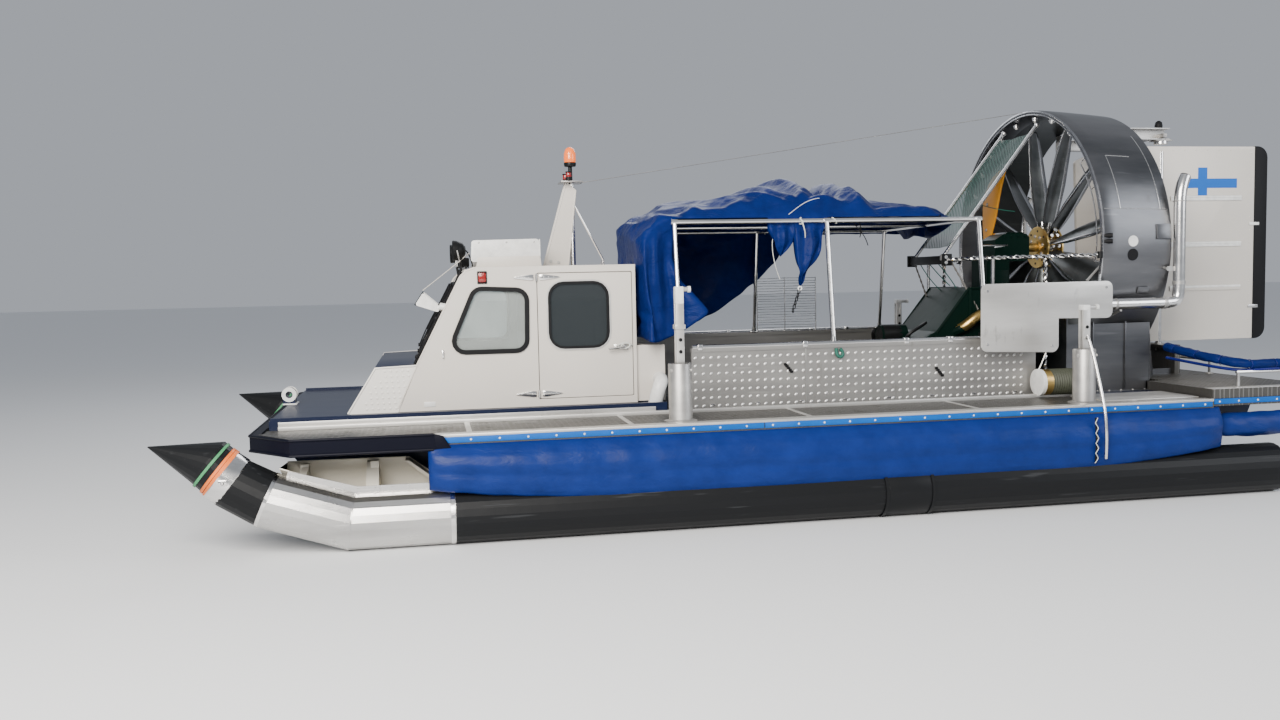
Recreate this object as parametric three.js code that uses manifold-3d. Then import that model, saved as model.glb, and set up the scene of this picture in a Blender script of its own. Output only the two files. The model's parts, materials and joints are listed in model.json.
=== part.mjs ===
// A ten-metre pontoon hovercraft: a decked hull and a blue skirt on two runner tubes that lift at
// the bow, a cabin for two, a tarpaulin on a cargo frame, and a ducted fan with twin rudders.
// Millimetres. X points forward to the bow, Y to port, Z up; the tubes stand on Z = 0.
import * as THREE from "three";
import { mergeVertices } from "three/addons/utils/BufferGeometryUtils.js";
import Module from "manifold-3d";

const wasm = await Module();
wasm.setup();

// Driving dimensions
const GAP = 0.4;
const TUBE = { y: 1886, radius: 200, sides: 24, sternX: -3860, sheathX: 2920, mitreX: 3650 };
const HULL = { halfWidth: 1280, bottom: 440, top: 800, rakeX: 3980, bowX: 4270, raised: 870,
  raisedX: 1200 };
const SIDE_DECK = { outerY: 1970, top: 800, under: 740, skirtX: 3050, sternX: -3240, noseX: 4290 };
const STERN = { platformTop: 880, platformX: -4250, halfWidth: 1950 };
const LEG = { y: 1800, sleeveRadius: 90, postHalf: 32, sleeveTop: 1240, frontX: 1210, aftX: -2170 };
const CABIN = { halfWidth: 1020, wall: 30, bottom: 871, rearX: 1390, roof: 2000 };
const DOOR = { rearX: 1425, frontX: 2195, bottom: 935, top: 1945, clearance: 5 };
const BULWARK = { y: 1160, thick: 30, top: 1310, frontX: 970, rearX: -2100 };
const CANOPY = { footY: 1145, railY: 1000, railZ: 2345, tube: 20, stations: [1050, -270, -1660] };
const DUCT = { z: 2115, frontX: -2665, rearX: -3360, frontRadius: 1310, rearRadius: 1260, wall: 25 };
const FAN = { x: -2900, blades: 12, firstBlade: 10, tip: 1190, disc: 200, boss: 42, bossX: 200 };
const GUARD = { beamX: -1680, beamHalf: 360, z: 2010, lipX: -2650, lipY: 1285, rodY: 300, rodTopZ: 3255 };
const RUDDER = { y: 450, pivotX: -3835, noseX: -3560, panelX: -4850, tailX: -4990, bottom: 1185,
  top: 3040, thick: 45 };

// Materials, with the colours of the real surfaces
const finish = (color, roughness, metalness) =>
  new THREE.MeshStandardMaterial({ color, roughness, metalness });
const MATERIALS = {
  navyPaint: finish(0x101d3d, 0.35, 0.1),
  aluminium: finish(0xb3b0ab, 0.45, 0.8),
  blackPlastic: finish(0x121314, 0.55, 0.0),
  steel: finish(0xb9b8b6, 0.3, 0.9),
  skirtFabric: finish(0x23418f, 0.45, 0.0),
  cabinPaint: finish(0xc8c3bb, 0.5, 0.1),
  darkGlass: finish(0x0d1012, 0.1, 0.0),
  ductSteel: finish(0x5c6066, 0.4, 0.8),
  tarpaulin: finish(0x0f3c96, 0.5, 0.0),
  engineGreen: finish(0x0f3a2c, 0.6, 0.1),
  blackPaint: finish(0x17181a, 0.5, 0.2),
  yellowPaint: finish(0xd99a1c, 0.5, 0.1),
  amber: finish(0xe0561a, 0.3, 0.0),
  net: finish(0x1d7a68, 0.8, 0.0),
};

// Closed solids from outlines. An outline is a list of [a, b] points in the named plane.
const shapeOf = (outline) => new THREE.Shape(outline.map(([a, b]) => new THREE.Vector2(a, b)));
const extruded = (shape, depth) =>
  new THREE.ExtrudeGeometry(shape, { depth, bevelEnabled: false, curveSegments: 8 });

// An outline with each corner turned into an arc.
function rounded(corners, radius, steps = 4) {
  return corners.flatMap((corner, i) => {
    const here = new THREE.Vector2(...corner);
    const armTo = (other) => new THREE.Vector2(...other).sub(here).normalize();
    const before = armTo(corners[(i + corners.length - 1) % corners.length]);
    const after = armTo(corners[(i + 1) % corners.length]);
    const half = Math.acos(before.dot(after)) / 2;
    const middle = before.clone().add(after).normalize().multiplyScalar(radius / Math.sin(half)).add(here);
    const start = before.clone().multiplyScalar(radius / Math.tan(half)).add(here).sub(middle);
    const sweep = (Math.PI - 2 * half) * Math.sign(before.cross(after)) * -1;
    return Array.from({ length: steps + 1 }, (_, k) => {
      const arm = start.clone().rotateAround(new THREE.Vector2(), (sweep * k) / steps);
      return [middle.x + arm.x, middle.y + arm.y];
    });
  });
}

function box([x0, x1], [y0, y1], [z0, z1]) {
  return new THREE.BoxGeometry(x1 - x0, y1 - y0, z1 - z0)
    .translate((x0 + x1) / 2, (y0 + y1) / 2, (z0 + z1) / 2);
}

// Side view: points are [x, z], pulled across from y0 to y1.
function sideProfile(outline, y0, y1) {
  return extruded(shapeOf(outline), y1 - y0).rotateX(Math.PI / 2).translate(0, y1, 0);
}

// Front view: points are [y, z], pulled along from x0 to x1.
function crossProfile(outline, x0, x1) {
  const turn = new THREE.Matrix4().makeBasis(
    new THREE.Vector3(0, 1, 0),
    new THREE.Vector3(0, 0, 1),
    new THREE.Vector3(1, 0, 0),
  );
  return extruded(shapeOf(outline), x1 - x0).applyMatrix4(turn).translate(x0, 0, 0);
}

// Plan view: points are [x, y], pulled up from z0 to z1.
function planProfile(outline, z0, z1) {
  return extruded(shapeOf(outline), z1 - z0).translate(0, 0, z0);
}

// A round bar between two points.
function bar(from, to, radius, sides = 10) {
  const a = new THREE.Vector3(...from);
  const b = new THREE.Vector3(...to);
  const along = b.clone().sub(a);
  const up = new THREE.Vector3(0, 1, 0);
  return new THREE.CylinderGeometry(radius, radius, along.length(), sides)
    .applyQuaternion(new THREE.Quaternion().setFromUnitVectors(up, along.clone().normalize()))
    .translate((a.x + b.x) / 2, (a.y + b.y) / 2, (a.z + b.z) / 2);
}

// A round bar through several points, with a ball at each bend.
function bars(points, radius, sides = 10) {
  const pieces = [];
  for (let i = 1; i < points.length; i++) pieces.push(bar(points[i - 1], points[i], radius, sides));
  for (const point of points.slice(1, -1)) {
    pieces.push(new THREE.SphereGeometry(radius * 1.02, sides, 6).translate(...point));
  }
  return pieces;
}

// A closed skin through rings with equal numbers of points, with flat ends.
function loft(rings) {
  const count = rings[0].length;
  const positions = rings.flat(2);
  const index = [];
  for (let i = 0; i + 1 < rings.length; i++) {
    for (let j = 0; j < count; j++) {
      const a = i * count + j;
      const b = i * count + ((j + 1) % count);
      index.push(a, b, a + count, b, b + count, a + count);
    }
  }
  for (let j = 1; j + 1 < count; j++) {
    const last = (rings.length - 1) * count;
    index.push(0, j + 1, j, last, last + j, last + j + 1);
  }
  const geometry = new THREE.BufferGeometry();
  geometry.setAttribute("position", new THREE.Float32BufferAttribute(positions, 3));
  geometry.setIndex(index);
  return geometry;
}

// Joins and cuts
function solidOf(geometry) {
  const bare = geometry.clone();
  bare.deleteAttribute("normal");
  bare.deleteAttribute("uv");
  const merged = mergeVertices(bare, 1e-3);
  const solid = new wasm.Manifold(
    new wasm.Mesh({
      numProp: 3,
      vertProperties: new Float32Array(merged.attributes.position.array),
      triVerts: new Uint32Array(merged.index.array),
    }),
  );
  return solid.volume() < 0 ? solidOf(flipped(merged)) : solid;
}

function flipped(geometry) {
  const turned = geometry.clone();
  const corners = turned.index.array;
  for (let i = 0; i < corners.length; i += 3) {
    [corners[i + 1], corners[i + 2]] = [corners[i + 2], corners[i + 1]];
  }
  return turned;
}

function geometryOf(solid) {
  const mesh = solid.getMesh();
  const geometry = new THREE.BufferGeometry();
  const corners = new Float32Array(mesh.vertProperties);
  geometry.setAttribute("position", new THREE.BufferAttribute(corners, 3));
  geometry.setIndex(new THREE.BufferAttribute(new Uint32Array(mesh.triVerts), 1));
  return geometry;
}

const joined = (pieces, cuts = []) => {
  let solid = pieces.map(solidOf).reduce((whole, piece) => whole.add(piece));
  for (const cut of cuts) solid = solid.subtract(solidOf(cut));
  return geometryOf(solid);
};

const craft = new THREE.Group();

function place(name, geometry, material) {
  const mesh = new THREE.Mesh(geometry, material);
  mesh.name = name;
  craft.add(mesh);
}

// The same piece on both sides: the port one as given, the starboard one mirrored.
const SIDES = [
  { side: "port", sign: 1 },
  { side: "starboard", sign: -1 },
];

function placePair(name, geometry, material) {
  for (const { side, sign } of SIDES) {
    const own = sign > 0 ? geometry : geometryOf(solidOf(geometry.clone().scale(1, -1, 1)));
    place(`${name}_${side}`, own, material);
  }
}

// Runner tubes: a straight run, a mitred sheath that starts the lift, and an elbow with a cone.
// tilt is the lean of the section from upright, in degrees.
const NOSE_SECTIONS = [
  { x: 4210, z: 385, tilt: 24, radius: 196 },
  { x: 4445, z: 525, tilt: 36, radius: 186 },
  { x: 4600, z: 680, tilt: 41, radius: 176 },
  { x: 4987, z: 803, tilt: 41, radius: 4 },
];
const SHEATH_SECTIONS = [
  { x: TUBE.sheathX, z: TUBE.radius, tilt: 0, radius: TUBE.radius },
  { x: TUBE.mitreX, z: TUBE.radius, tilt: 9, radius: TUBE.radius * 1.01 },
  { x: 4210 - GAP, z: 385, tilt: 24, radius: 198 },
];

function tubeRing({ x, z, tilt, radius }) {
  const lean = THREE.MathUtils.degToRad(tilt);
  const flat = radius / Math.cos(Math.PI / TUBE.sides);
  return Array.from({ length: TUBE.sides }, (_, i) => {
    const turn = ((i + 0.5) * 2 * Math.PI) / TUBE.sides;
    const rise = -Math.cos(turn) * flat;
    const out = Math.sin(turn) * flat;
    return [x - rise * Math.sin(lean), TUBE.y + out, z + rise * Math.cos(lean)];
  });
}

function runnerTubes() {
  const straight = [
    { x: TUBE.sternX, z: TUBE.radius, tilt: 0, radius: TUBE.radius },
    { x: TUBE.sheathX - GAP, z: TUBE.radius, tilt: 0, radius: TUBE.radius },
  ];
  placePair("runner_tube", loft(straight.map(tubeRing)), MATERIALS.blackPlastic);
  const plate = [8, 60];
  const flange = [
    sideProfile([[2930, 385], [3630, 385], [3630, 450], [2930, 450]], TUBE.y - plate[0], TUBE.y),
    sideProfile([[3600, 385], [4090, 525], [4070, 585], [3600, 450]], TUBE.y - plate[0], TUBE.y),
  ];
  placePair("runner_sheath", joined([loft(SHEATH_SECTIONS.map(tubeRing)), ...flange]),
    MATERIALS.steel);
  placePair("runner_nose", loft(NOSE_SECTIONS.map(tubeRing)), MATERIALS.blackPlastic);
}

// Spray trays between tube and hull: an inner wall, a sloping floor, a raked end and two ribs.
function sprayTrays() {
  const tray = { wallY: 1450, sheet: 8, nearY: 1866, endX: 3060, noseX: 4130 };
  // columns: x, floor height at the wall, floor height at the tube, top of the wall
  const sections = [
    [tray.endX, 290, 422, 440],
    [3240, 290, 422, 575],
    [3640, 300, 430, 575],
    [tray.noseX, 400, 600, 580],
  ];
  const sheet = loft(sections.map(([x, low, near, top]) => [
    [x, tray.wallY, top],
    [x, tray.wallY, low],
    [x, tray.nearY, near],
    [x, tray.nearY, near + tray.sheet],
    [x, tray.wallY + tray.sheet, low + tray.sheet],
    [x, tray.wallY + tray.sheet, top],
  ]));
  const rib = (x, width, low, near, top) => crossProfile(
    [[tray.wallY + 2, low + 2], [tray.nearY - 60, near - 8], [tray.wallY + 90, top], [tray.wallY + 2, top]],
    x, x + width);
  placePair("spray_tray", joined([sheet, rib(3460, 90, 296, 415, 570), rib(3960, 50, 370, 540, 570)]),
    MATERIALS.cabinPaint);
}

// Hull: a decked centre body with raked ends, beams to the legs, and a fairlead on the bow.
function hull() {
  const { halfWidth, bottom, top, rakeX, bowX, raised, raisedX } = HULL;
  const rakeTopX = rakeX + ((bowX - rakeX) * (top - bottom)) / (raised - 60 - bottom);
  const body = sideProfile([
    [-4080, bottom], [rakeX, bottom], [rakeTopX, top], [SIDE_DECK.sternX, top],
    [SIDE_DECK.sternX, SIDE_DECK.under - GAP], [-4200, SIDE_DECK.under - GAP],
  ], -halfWidth, halfWidth);
  const beam = (x) => box([x - 60, x + 60], [-(LEG.y - 110), LEG.y - 110], [bottom, bottom + 120]);
  place("hull", joined([body, beam(LEG.frontX), beam(LEG.aftX)]), MATERIALS.navyPaint);

  const deck = sideProfile([[raisedX, top + GAP], [rakeTopX, top + GAP], [bowX, raised - 60],
    [bowX, raised], [raisedX, raised]], -halfWidth, halfWidth);
  const edge = (y) => box([raisedX, bowX - 10], [y - 20, y + 20], [raised - 20, raised + 22]);
  const fairlead = sideProfile([[4215, 860], [4315, 860], [4315, 985], [4285, 1010], [4245, 1010],
    [4215, 985]], -60, 60);
  const eye = bar([4265, -80, 955], [4265, 80, 955], 26, 16);
  place("fore_deck", joined([deck, edge(halfWidth - 20), edge(20 - halfWidth), fairlead], [eye]),
    MATERIALS.navyPaint);
}

function sideDecks() {
  const inner = HULL.halfWidth + GAP;
  const { outerY, top, under, skirtX, sternX, noseX } = SIDE_DECK;
  const deck = planProfile([[sternX + GAP, inner], [noseX, inner], [noseX, 1600], [4020, 1935],
    [skirtX, 1935], [skirtX, outerY], [sternX + GAP, outerY]], under, top);
  const lip = box([sternX + GAP, skirtX], [outerY - 25, outerY], [under - 40, top]);
  const holes = [LEG.frontX, LEG.aftX].map((x) =>
    bar([x, LEG.y, under - 50], [x, LEG.y, top + 50], LEG.sleeveRadius + 2, 20));
  placePair("side_deck", joined([deck, lip], holes), MATERIALS.aluminium);
}

// The dark lip that runs round the bow and back along both sides.
function bowApron() {
  const outer = [[3050, 2000], [4040, 2000], [4360, 1625], [4360, -1625], [4040, -2000], [3050, -2000]];
  const inner = [[3050 + GAP, -1936], [4020, -1936], [4291, -1600], [4291, 1600], [4020, 1936],
    [3050 + GAP, 1936]];
  place("bow_apron", joined([planProfile([...outer, ...inner], 702, 815)]), MATERIALS.navyPaint);
}

function sternPlatform() {
  const { platformTop, platformX, halfWidth } = STERN;
  const frontX = SIDE_DECK.sternX - GAP;
  const deck = box([platformX, frontX], [-halfWidth, halfWidth], [SIDE_DECK.under, platformTop]);
  const notch = box([DUCT.rearX - 40, frontX + 10], [-1120, 1120], [HULL.top, platformTop + 10]);
  const sill = [
    box([-3960, -3905], [-600, 600], [platformTop - 10, 1150]),
    box([-3930, -3780], [-600, 600], [1131, 1155]),
  ];
  place("stern_platform", joined([deck, ...sill], [notch]), MATERIALS.aluminium);
}

function skirts() {
  // columns: x, lowest edge, how far the bulge stands out
  const sections = [[3100, 415, 2020], [3060, 410, 2050], [2300, 330, 2085], [0, 300, 2095],
    [-2700, 330, 2085], [-3250, 410, 2050], [-3290, 415, 2020]];
  const skirt = loft(sections.map(([x, low, bulge]) => [
    [x, 1935, 700],
    [x, 1982, 699],
    [x, bulge - 28, 655],
    [x, bulge, 590],
    [x, bulge + 12, 510],
    [x, bulge + 8, low + 80],
    [x, Math.max(bulge, 2045) + 2, low + 30],
    [x, 2090, low],
    [x, 2076, low + 10],
    [x, 1950, 440],
  ]));
  const aftBag = loft([[-3260, 600, 75], [-3420, 560, 90], [-4060, 560, 90], [-4140, 560, 30]]
    .map(([x, z, radius]) => Array.from({ length: 10 }, (_, i) => {
      const turn = (i * 2 * Math.PI) / 10;
      return [x, 1900 - Math.sin(turn) * radius, z + Math.cos(turn) * radius];
    })));
  placePair("skirt", joined([skirt, aftBag]), MATERIALS.skirtFabric);
}

// Legs: a post in a sleeve that stands through the side deck, one at each corner.
function legs() {
  const rows = [
    { name: "leg_front", x: LEG.frontX, top: 1820, lug: 40 },
    { name: "leg_aft", x: LEG.aftX, top: 1600, lug: 70 },
  ];
  const { y, postHalf } = LEG;
  for (const { name, x, top, lug } of rows) {
    placePair(name, joined([
      bar([x, y, 402], [x, y, LEG.sleeveTop], LEG.sleeveRadius, 20),
      box([x - postHalf, x + postHalf], [y + 4, y + 34], [LEG.sleeveTop - 50, top]),
      box([x - 8, x + 8], [y - 34, y + 6], [LEG.sleeveTop - 50, top]),
      box([x - postHalf, x + postHalf], [y - 36, y + 34], [top - 40, top]),
      bar([x, y - 10, top - 22], [x - postHalf - lug, y - 10, top - 22], 18, 10),
    ]), MATERIALS.steel);
  }
}

// Cabin: a hollow shell with openings for two doors and for the glass.
const CABIN_SIDE = [[3320, CABIN.bottom], [3160, 1240], [2800, 1930], [2755, 1978], [2680, 2000],
  [1390, 2000], [1390, CABIN.bottom]];
const FRONT_WINDOW = { corners: [[2700, 1840], [2275, 1820], [2285, 1325], [2925, 1325]], radius: 95 };
const DOOR_WINDOW = { corners: [[1615, 1335], [2110, 1335], [2110, 1875], [1615, 1875]], radius: 125 };
const REAR_WINDOW = { halfWidth: 450, bottom: 1400, top: 1800 };

// A corner of a four-sided outline, moved towards the middle.
function inset(corners, i, by) {
  const [x, z] = corners[i];
  const [middleX, middleZ] = [0, 1].map((k) => corners.reduce((sum, corner) => sum + corner[k], 0) / 4);
  return [x + Math.sign(middleX - x) * by, z + Math.sign(middleZ - z) * by];
}

function cabin() {
  const { halfWidth, wall, bottom, rearX, roof } = CABIN;
  const innerY = halfWidth - wall - GAP;
  const doorway = box([DOOR.rearX - DOOR.clearance, DOOR.frontX + DOOR.clearance],
    [0, halfWidth + 10], [DOOR.bottom - DOOR.clearance, DOOR.top + DOOR.clearance]);
  const opening = ({ corners, radius }, shrink = 0) =>
    rounded(corners.map(([x, z], i) => inset(corners, i, shrink)), radius - shrink);
  const sideOpening = sideProfile(opening(FRONT_WINDOW), 0, halfWidth + 10);
  placePair("cabin_side",
    joined([sideProfile(CABIN_SIDE, halfWidth - wall, halfWidth)], [doorway, sideOpening]),
    MATERIALS.cabinPaint);

  const shell = sideProfile(CABIN_SIDE, -innerY, innerY);
  const inside = sideProfile([[3275, bottom - 10], [3120, 1240], [2770, 1912], [2665, roof - wall],
    [rearX + wall, roof - wall], [rearX + wall, bottom - 10]], -halfWidth, halfWidth);
  const screenOpening = sideProfile([[3300, 1300], [2900, 1300], [2600, 1890], [3300, 1890]],
    90 - halfWidth, halfWidth - 90);
  const rearOpening = box([rearX - 10, rearX + wall + 10],
    [-REAR_WINDOW.halfWidth, REAR_WINDOW.halfWidth], [REAR_WINDOW.bottom, REAR_WINDOW.top]);
  const airBox = box([1150, rearX + 1], [500, innerY], [bottom + 9, 1340]);
  const openShell = joined([shell], [inside, screenOpening, rearOpening]);
  place("cabin_body", joined([openShell, airBox]), MATERIALS.cabinPaint);

  placePair("side_glass", sideProfile(opening(FRONT_WINDOW, 1), halfWidth - 18, halfWidth - 12),
    MATERIALS.darkGlass);
  place("windscreen", sideProfile([[3128, 1303], [3118, 1303], [2812, 1887], [2822, 1887]],
    93 - halfWidth, halfWidth - 93), MATERIALS.darkGlass);
  place("rear_glass", box([rearX + 12, rearX + 18],
    [2 - REAR_WINDOW.halfWidth, REAR_WINDOW.halfWidth - 2],
    [REAR_WINDOW.bottom + 2, REAR_WINDOW.top - 2]), MATERIALS.darkGlass);
  const panel = box([DOOR.rearX, DOOR.frontX], [halfWidth - wall, halfWidth], [DOOR.bottom, DOOR.top]);
  placePair("door",
    joined([panel], [sideProfile(opening(DOOR_WINDOW), halfWidth - wall - 10, halfWidth + 10)]),
    MATERIALS.cabinPaint);
  placePair("door_glass", sideProfile(opening(DOOR_WINDOW, GAP), halfWidth - 18, halfWidth - 12),
    MATERIALS.darkGlass);
  place("nose_step", sideProfile([[3710, bottom], [3490, 1225], [3160 + 8, 1235], [3322, bottom]],
    -halfWidth, halfWidth), MATERIALS.aluminium);
}

// On the roof: a low box, a blank number board with lights, and a plated mast with a beacon.
function roofPieces() {
  const roof = CABIN.roof + GAP;
  place("roof_box", joined([
    box([2110, 2660], [-600, 600], [roof, 2105]),
    box([2110, 2130], [-300, 600], [2100, 2245]),
    box([2110, 2680], [575, 590], [2090, 2245]),
    bar([2140, 480, 2160], [2830, 480, 2160], 14),
    bar([2770, 480, 2160], [2850, 480, 2160], 85, 16),
    bar([2140, -480, 2160], [2830, -480, 2160], 14),
    bar([2770, -480, 2160], [2850, -480, 2160], 85, 16),
    box([2110, 2150], [-490, 490], [2100, 2170]),
  ]), MATERIALS.cabinPaint);
  place("mast", joined([
    sideProfile([[2040, roof], [1800, roof], [1720, 2690], [1810, 2780]], -45, 45),
    bar([1745, 0, roof], [1745, 0, 2760], 24, 12),
    bar([1745, 0, 2600], [1500, 0, roof + 20], 10, 8),
    box([1470, 1530], [-25, 25], [roof, 2050]),
    box([1660, 1880], [-130, 130], [2755, 2785]),
  ]), MATERIALS.cabinPaint);
  const lamp = [[0, 2786], [55, 2786], [25, 2800], [25, 2905], [62, 2915], [62, 2990], [58, 3050],
    [35, 3075], [0, 3080]].map(([r, z]) => new THREE.Vector2(r, z));
  place("beacon", new THREE.LatheGeometry(lamp, 20).rotateX(Math.PI / 2).translate(1770, 0, 0),
    MATERIALS.amber);
  placePair("mirror", joined([
    sideProfile([[2990, 1655], [3165, 1715], [3100, 1812], [2960, 1690]], 800, 950),
    bar([2990, 940, 1690], [2944, 945, 1682], 12, 8),
  ]), MATERIALS.aluminium);
}

// Cargo space: dimpled side walls, an open frame of bars, a wire screen and a heaped tarpaulin.
function cargoSpace() {
  const { y, thick, top, frontX, rearX } = BULWARK;
  placePair("bulwark", joined([
    box([rearX, frontX], [y, y + thick], [HULL.top + GAP, top]),
    box([rearX, frontX], [y - 20, y + thick + 10], [top - 30, top]),
  ]), MATERIALS.aluminium);
  const { footY, railY, railZ, tube, stations } = CANOPY;
  const rail = bar([stations[0], railY, railZ], [stations[2], railY, railZ], tube, 12);
  const posts = stations.map((x) => bar([x, footY, top + 4], [x, railY, railZ], tube, 12));
  placePair("canopy_frame", joined([rail, ...posts]), MATERIALS.steel);
  place("canopy_bars", joined([
    ...stations.map((x) => bar([x, 22 - railY, railZ], [x, railY - 22, railZ], tube * 0.8, 12)),
    bar([stations[0], 0, railZ], [stations[2], 0, railZ], tube * 0.8, 12),
  ]), MATERIALS.steel);
  const screen = { frontX: -300, rearX: -950, top: 1870, y: -1134, wire: 4, rim: 8 };
  const foot = top + GAP + screen.rim;
  const upright = (x, radius) => bar([x, screen.y, foot], [x, screen.y, screen.top], radius, 6);
  const level = (z, radius) => bar([screen.rearX, screen.y, z], [screen.frontX, screen.y, z], radius, 6);
  const across = Array.from({ length: 9 }, (_, i) => screen.rearX + (i + 1) * 65);
  const heights = Array.from({ length: 7 }, (_, i) => foot + (i + 1) * 68);
  place("cargo_screen", joined([
    ...[screen.rearX, screen.frontX].map((x) => upright(x, screen.rim)),
    ...[foot, screen.top].map((z) => level(z, screen.rim)),
    ...across.map((x) => upright(x, screen.wire)),
    ...heights.map((z) => level(z, screen.wire)),
  ]), MATERIALS.steel);
}

// The heaped tarpaulin: a lumpy top that lies on the bars, a curtain behind the cabin, one down the
// starboard side with a slanting hem, and a short flap at the port front corner.
function tarpaulin() {
  const { footY, railY, railZ, tube } = CANOPY;
  const lie = railZ + tube + 4;
  const lean = (footY - railY) / (railZ - BULWARK.top);
  const sheet = 14;
  // columns: x, middle height, shoulder height, half-width
  const heap = loft([
    [1500, 2190, 2130, 900, 2060],
    [1440, 2290, 2200, 1000, 2040],
    [1330, 2345, 2290, 1030, 2280],
    [1040, 2455, 2420, 1035, lie],
    [700, 2545, 2480, 1035, lie],
    [100, 2640, 2560, 1035, lie],
    [-180, 2735, 2580, 1040, lie],
    [-420, 2640, 2560, 1040, lie],
    [-620, 2700, 2590, 1040, lie],
    [-1100, 2540, 2500, 1040, lie],
    [-1500, 2450, 2430, 1000, lie],
    [-1840, 2385, 2382, 700, lie],
  ].map(([x, middle, shoulder, half, low]) => [
    [x, half, low],
    [x, half, Math.max(low + 8, shoulder - 70)],
    [x, half - 160, shoulder],
    [x, 0, middle],
    [x, 160 - half, shoulder],
    [x, -half, Math.max(low + 8, shoulder - 70)],
    [x, -half, low],
  ]));
  const curtain = box([1366, 1382], [-1000, 1000], [1380, 2300]);
  const fallAt = (z, out) => out * (railY + (railZ - z) * lean + tube + 4);
  const side = (sign, low) => crossProfile([[fallAt(lie + 20, sign), lie + 20],
    [fallAt(lie + 20, sign) + sign * sheet, lie + 20], [fallAt(low, sign) + sign * sheet, low],
    [fallAt(low, sign), low]], -520, 1400);
  const hem = sideProfile([[1420, 1330], [1420, 1380], [300, 1540], [-250, 1840], [-470, 2040],
    [-500, lie + 1], [-600, lie + 1], [-600, 1330]], -1300, -800);
  const flap = sideProfile([[1500, 2500], [1062, 2500], [1062, 1968], [790, 1575], [960, 1497],
    [1290, 1365], [1500, 1365]], 800, 1300);
  const starboard = geometryOf(solidOf(side(-1, 1340)).subtract(solidOf(hem)));
  const port = geometryOf(solidOf(side(1, 1340)).intersect(solidOf(flap)));
  place("tarpaulin", joined([heap, curtain, starboard, port]), MATERIALS.tarpaulin);
}

// Engine bay: a plain block for the engine, its cover, the drive housing and a guard frame.
function engineBay() {
  const block = sideProfile([[-2200, HULL.top + GAP], [-1250, HULL.top + GAP], [-1250, 1180],
    [-1560, 1340], [-1890, 1740], [-2200, 1740]], -400, 400);
  const intake = bars([[-1700, 300, 1290], [-1800, 410, 1360], [-1900, 450, 1440], [-2080, 440, 1500],
    [-2120, 380, 1500]], 50, 10);
  const filter = bar([-1470, -100, 1300], [-1210, -100, 1300], 98, 14);
  const filterPipe = bars([[-1320, -300, 1150], [-1250, -300, 1290], [-1250, -180, 1310]], 30, 8);
  place("engine", joined([block, ...intake, filter, ...filterPipe]), MATERIALS.engineGreen);
  const shaftX = FAN.x + FAN.bossX + 12;
  place("drive_housing", joined([
    box([-2440, -2205], [-150, 150], [HULL.top + GAP, 2000]),
    sideProfile([[-2660, 2020], [-2630, 1985], [-2390, 1985], [-2300, 2040], [-2300, 2190],
      [-2390, 2245], [-2630, 2245], [-2660, 2210]], -130, 130),
    bar([shaftX, 0, DUCT.z], [-2400, 0, DUCT.z], 62, 16),
  ]), MATERIALS.blackPaint);
  place("belt_guard", crossProfile([[-240, 1800], [-250, 2084], [-300, 2290], [-300, 2540],
    [-230, 2690], [-120, 2800], [20, 2860], [130, 2860], [40, 2680], [-20, 2510], [-60, 2400],
    [-136, 2255], [-136, 2030], [-151, 2003], [-151, 1800]], -2420, -2400), MATERIALS.yellowPaint);

  // Guard frame: a short beam ahead of the engine, from which rails spread to the duct's lip and
  // two rods climb to its crown, with struts under the rails.
  const { beamX, beamHalf, z, lipX, lipY, rodY, rodTopZ } = GUARD;
  const railAt = (x) => beamHalf + ((lipY - beamHalf) * (beamX - x)) / (beamX - lipX);
  const pair = (make) => [make(1), make(-1)];
  place("fan_guard", joined([
    box([beamX - 40, beamX + 40], [-beamHalf - 20, beamHalf + 20], [z - 50, z + 40]),
    ...pair((s) => bar([beamX, s * rodY, z], [lipX + 20, s * rodY, rodTopZ], 16, 10)),
    ...pair((s) => bar([beamX, s * beamHalf, z], [lipX, s * lipY, z], 18, 10)),
    ...pair((s) => bar([-1990, s * railAt(-1990), HULL.top + GAP], [-1990, s * railAt(-1990), z], 18, 10)),
    ...pair((s) => bar([-2320, s * railAt(-2320), HULL.top + GAP], [-2320, s * railAt(-2320), z], 24, 10)),
  ]), MATERIALS.blackPaint);

  // The net over the two rods, from just above the beam to just below the crown.
  const netRise = (rodTopZ - z) / (beamX - lipX - 20);
  const netAt = (x) => z + (beamX - x) * netRise + 26;
  place("guard_net", sideProfile([[-1800, netAt(-1800)], [-1800, netAt(-1800) + 8],
    [-2590, netAt(-2590) + 8], [-2590, netAt(-2590)]], -rodY - 60, rodY + 60), MATERIALS.net);
}

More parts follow.
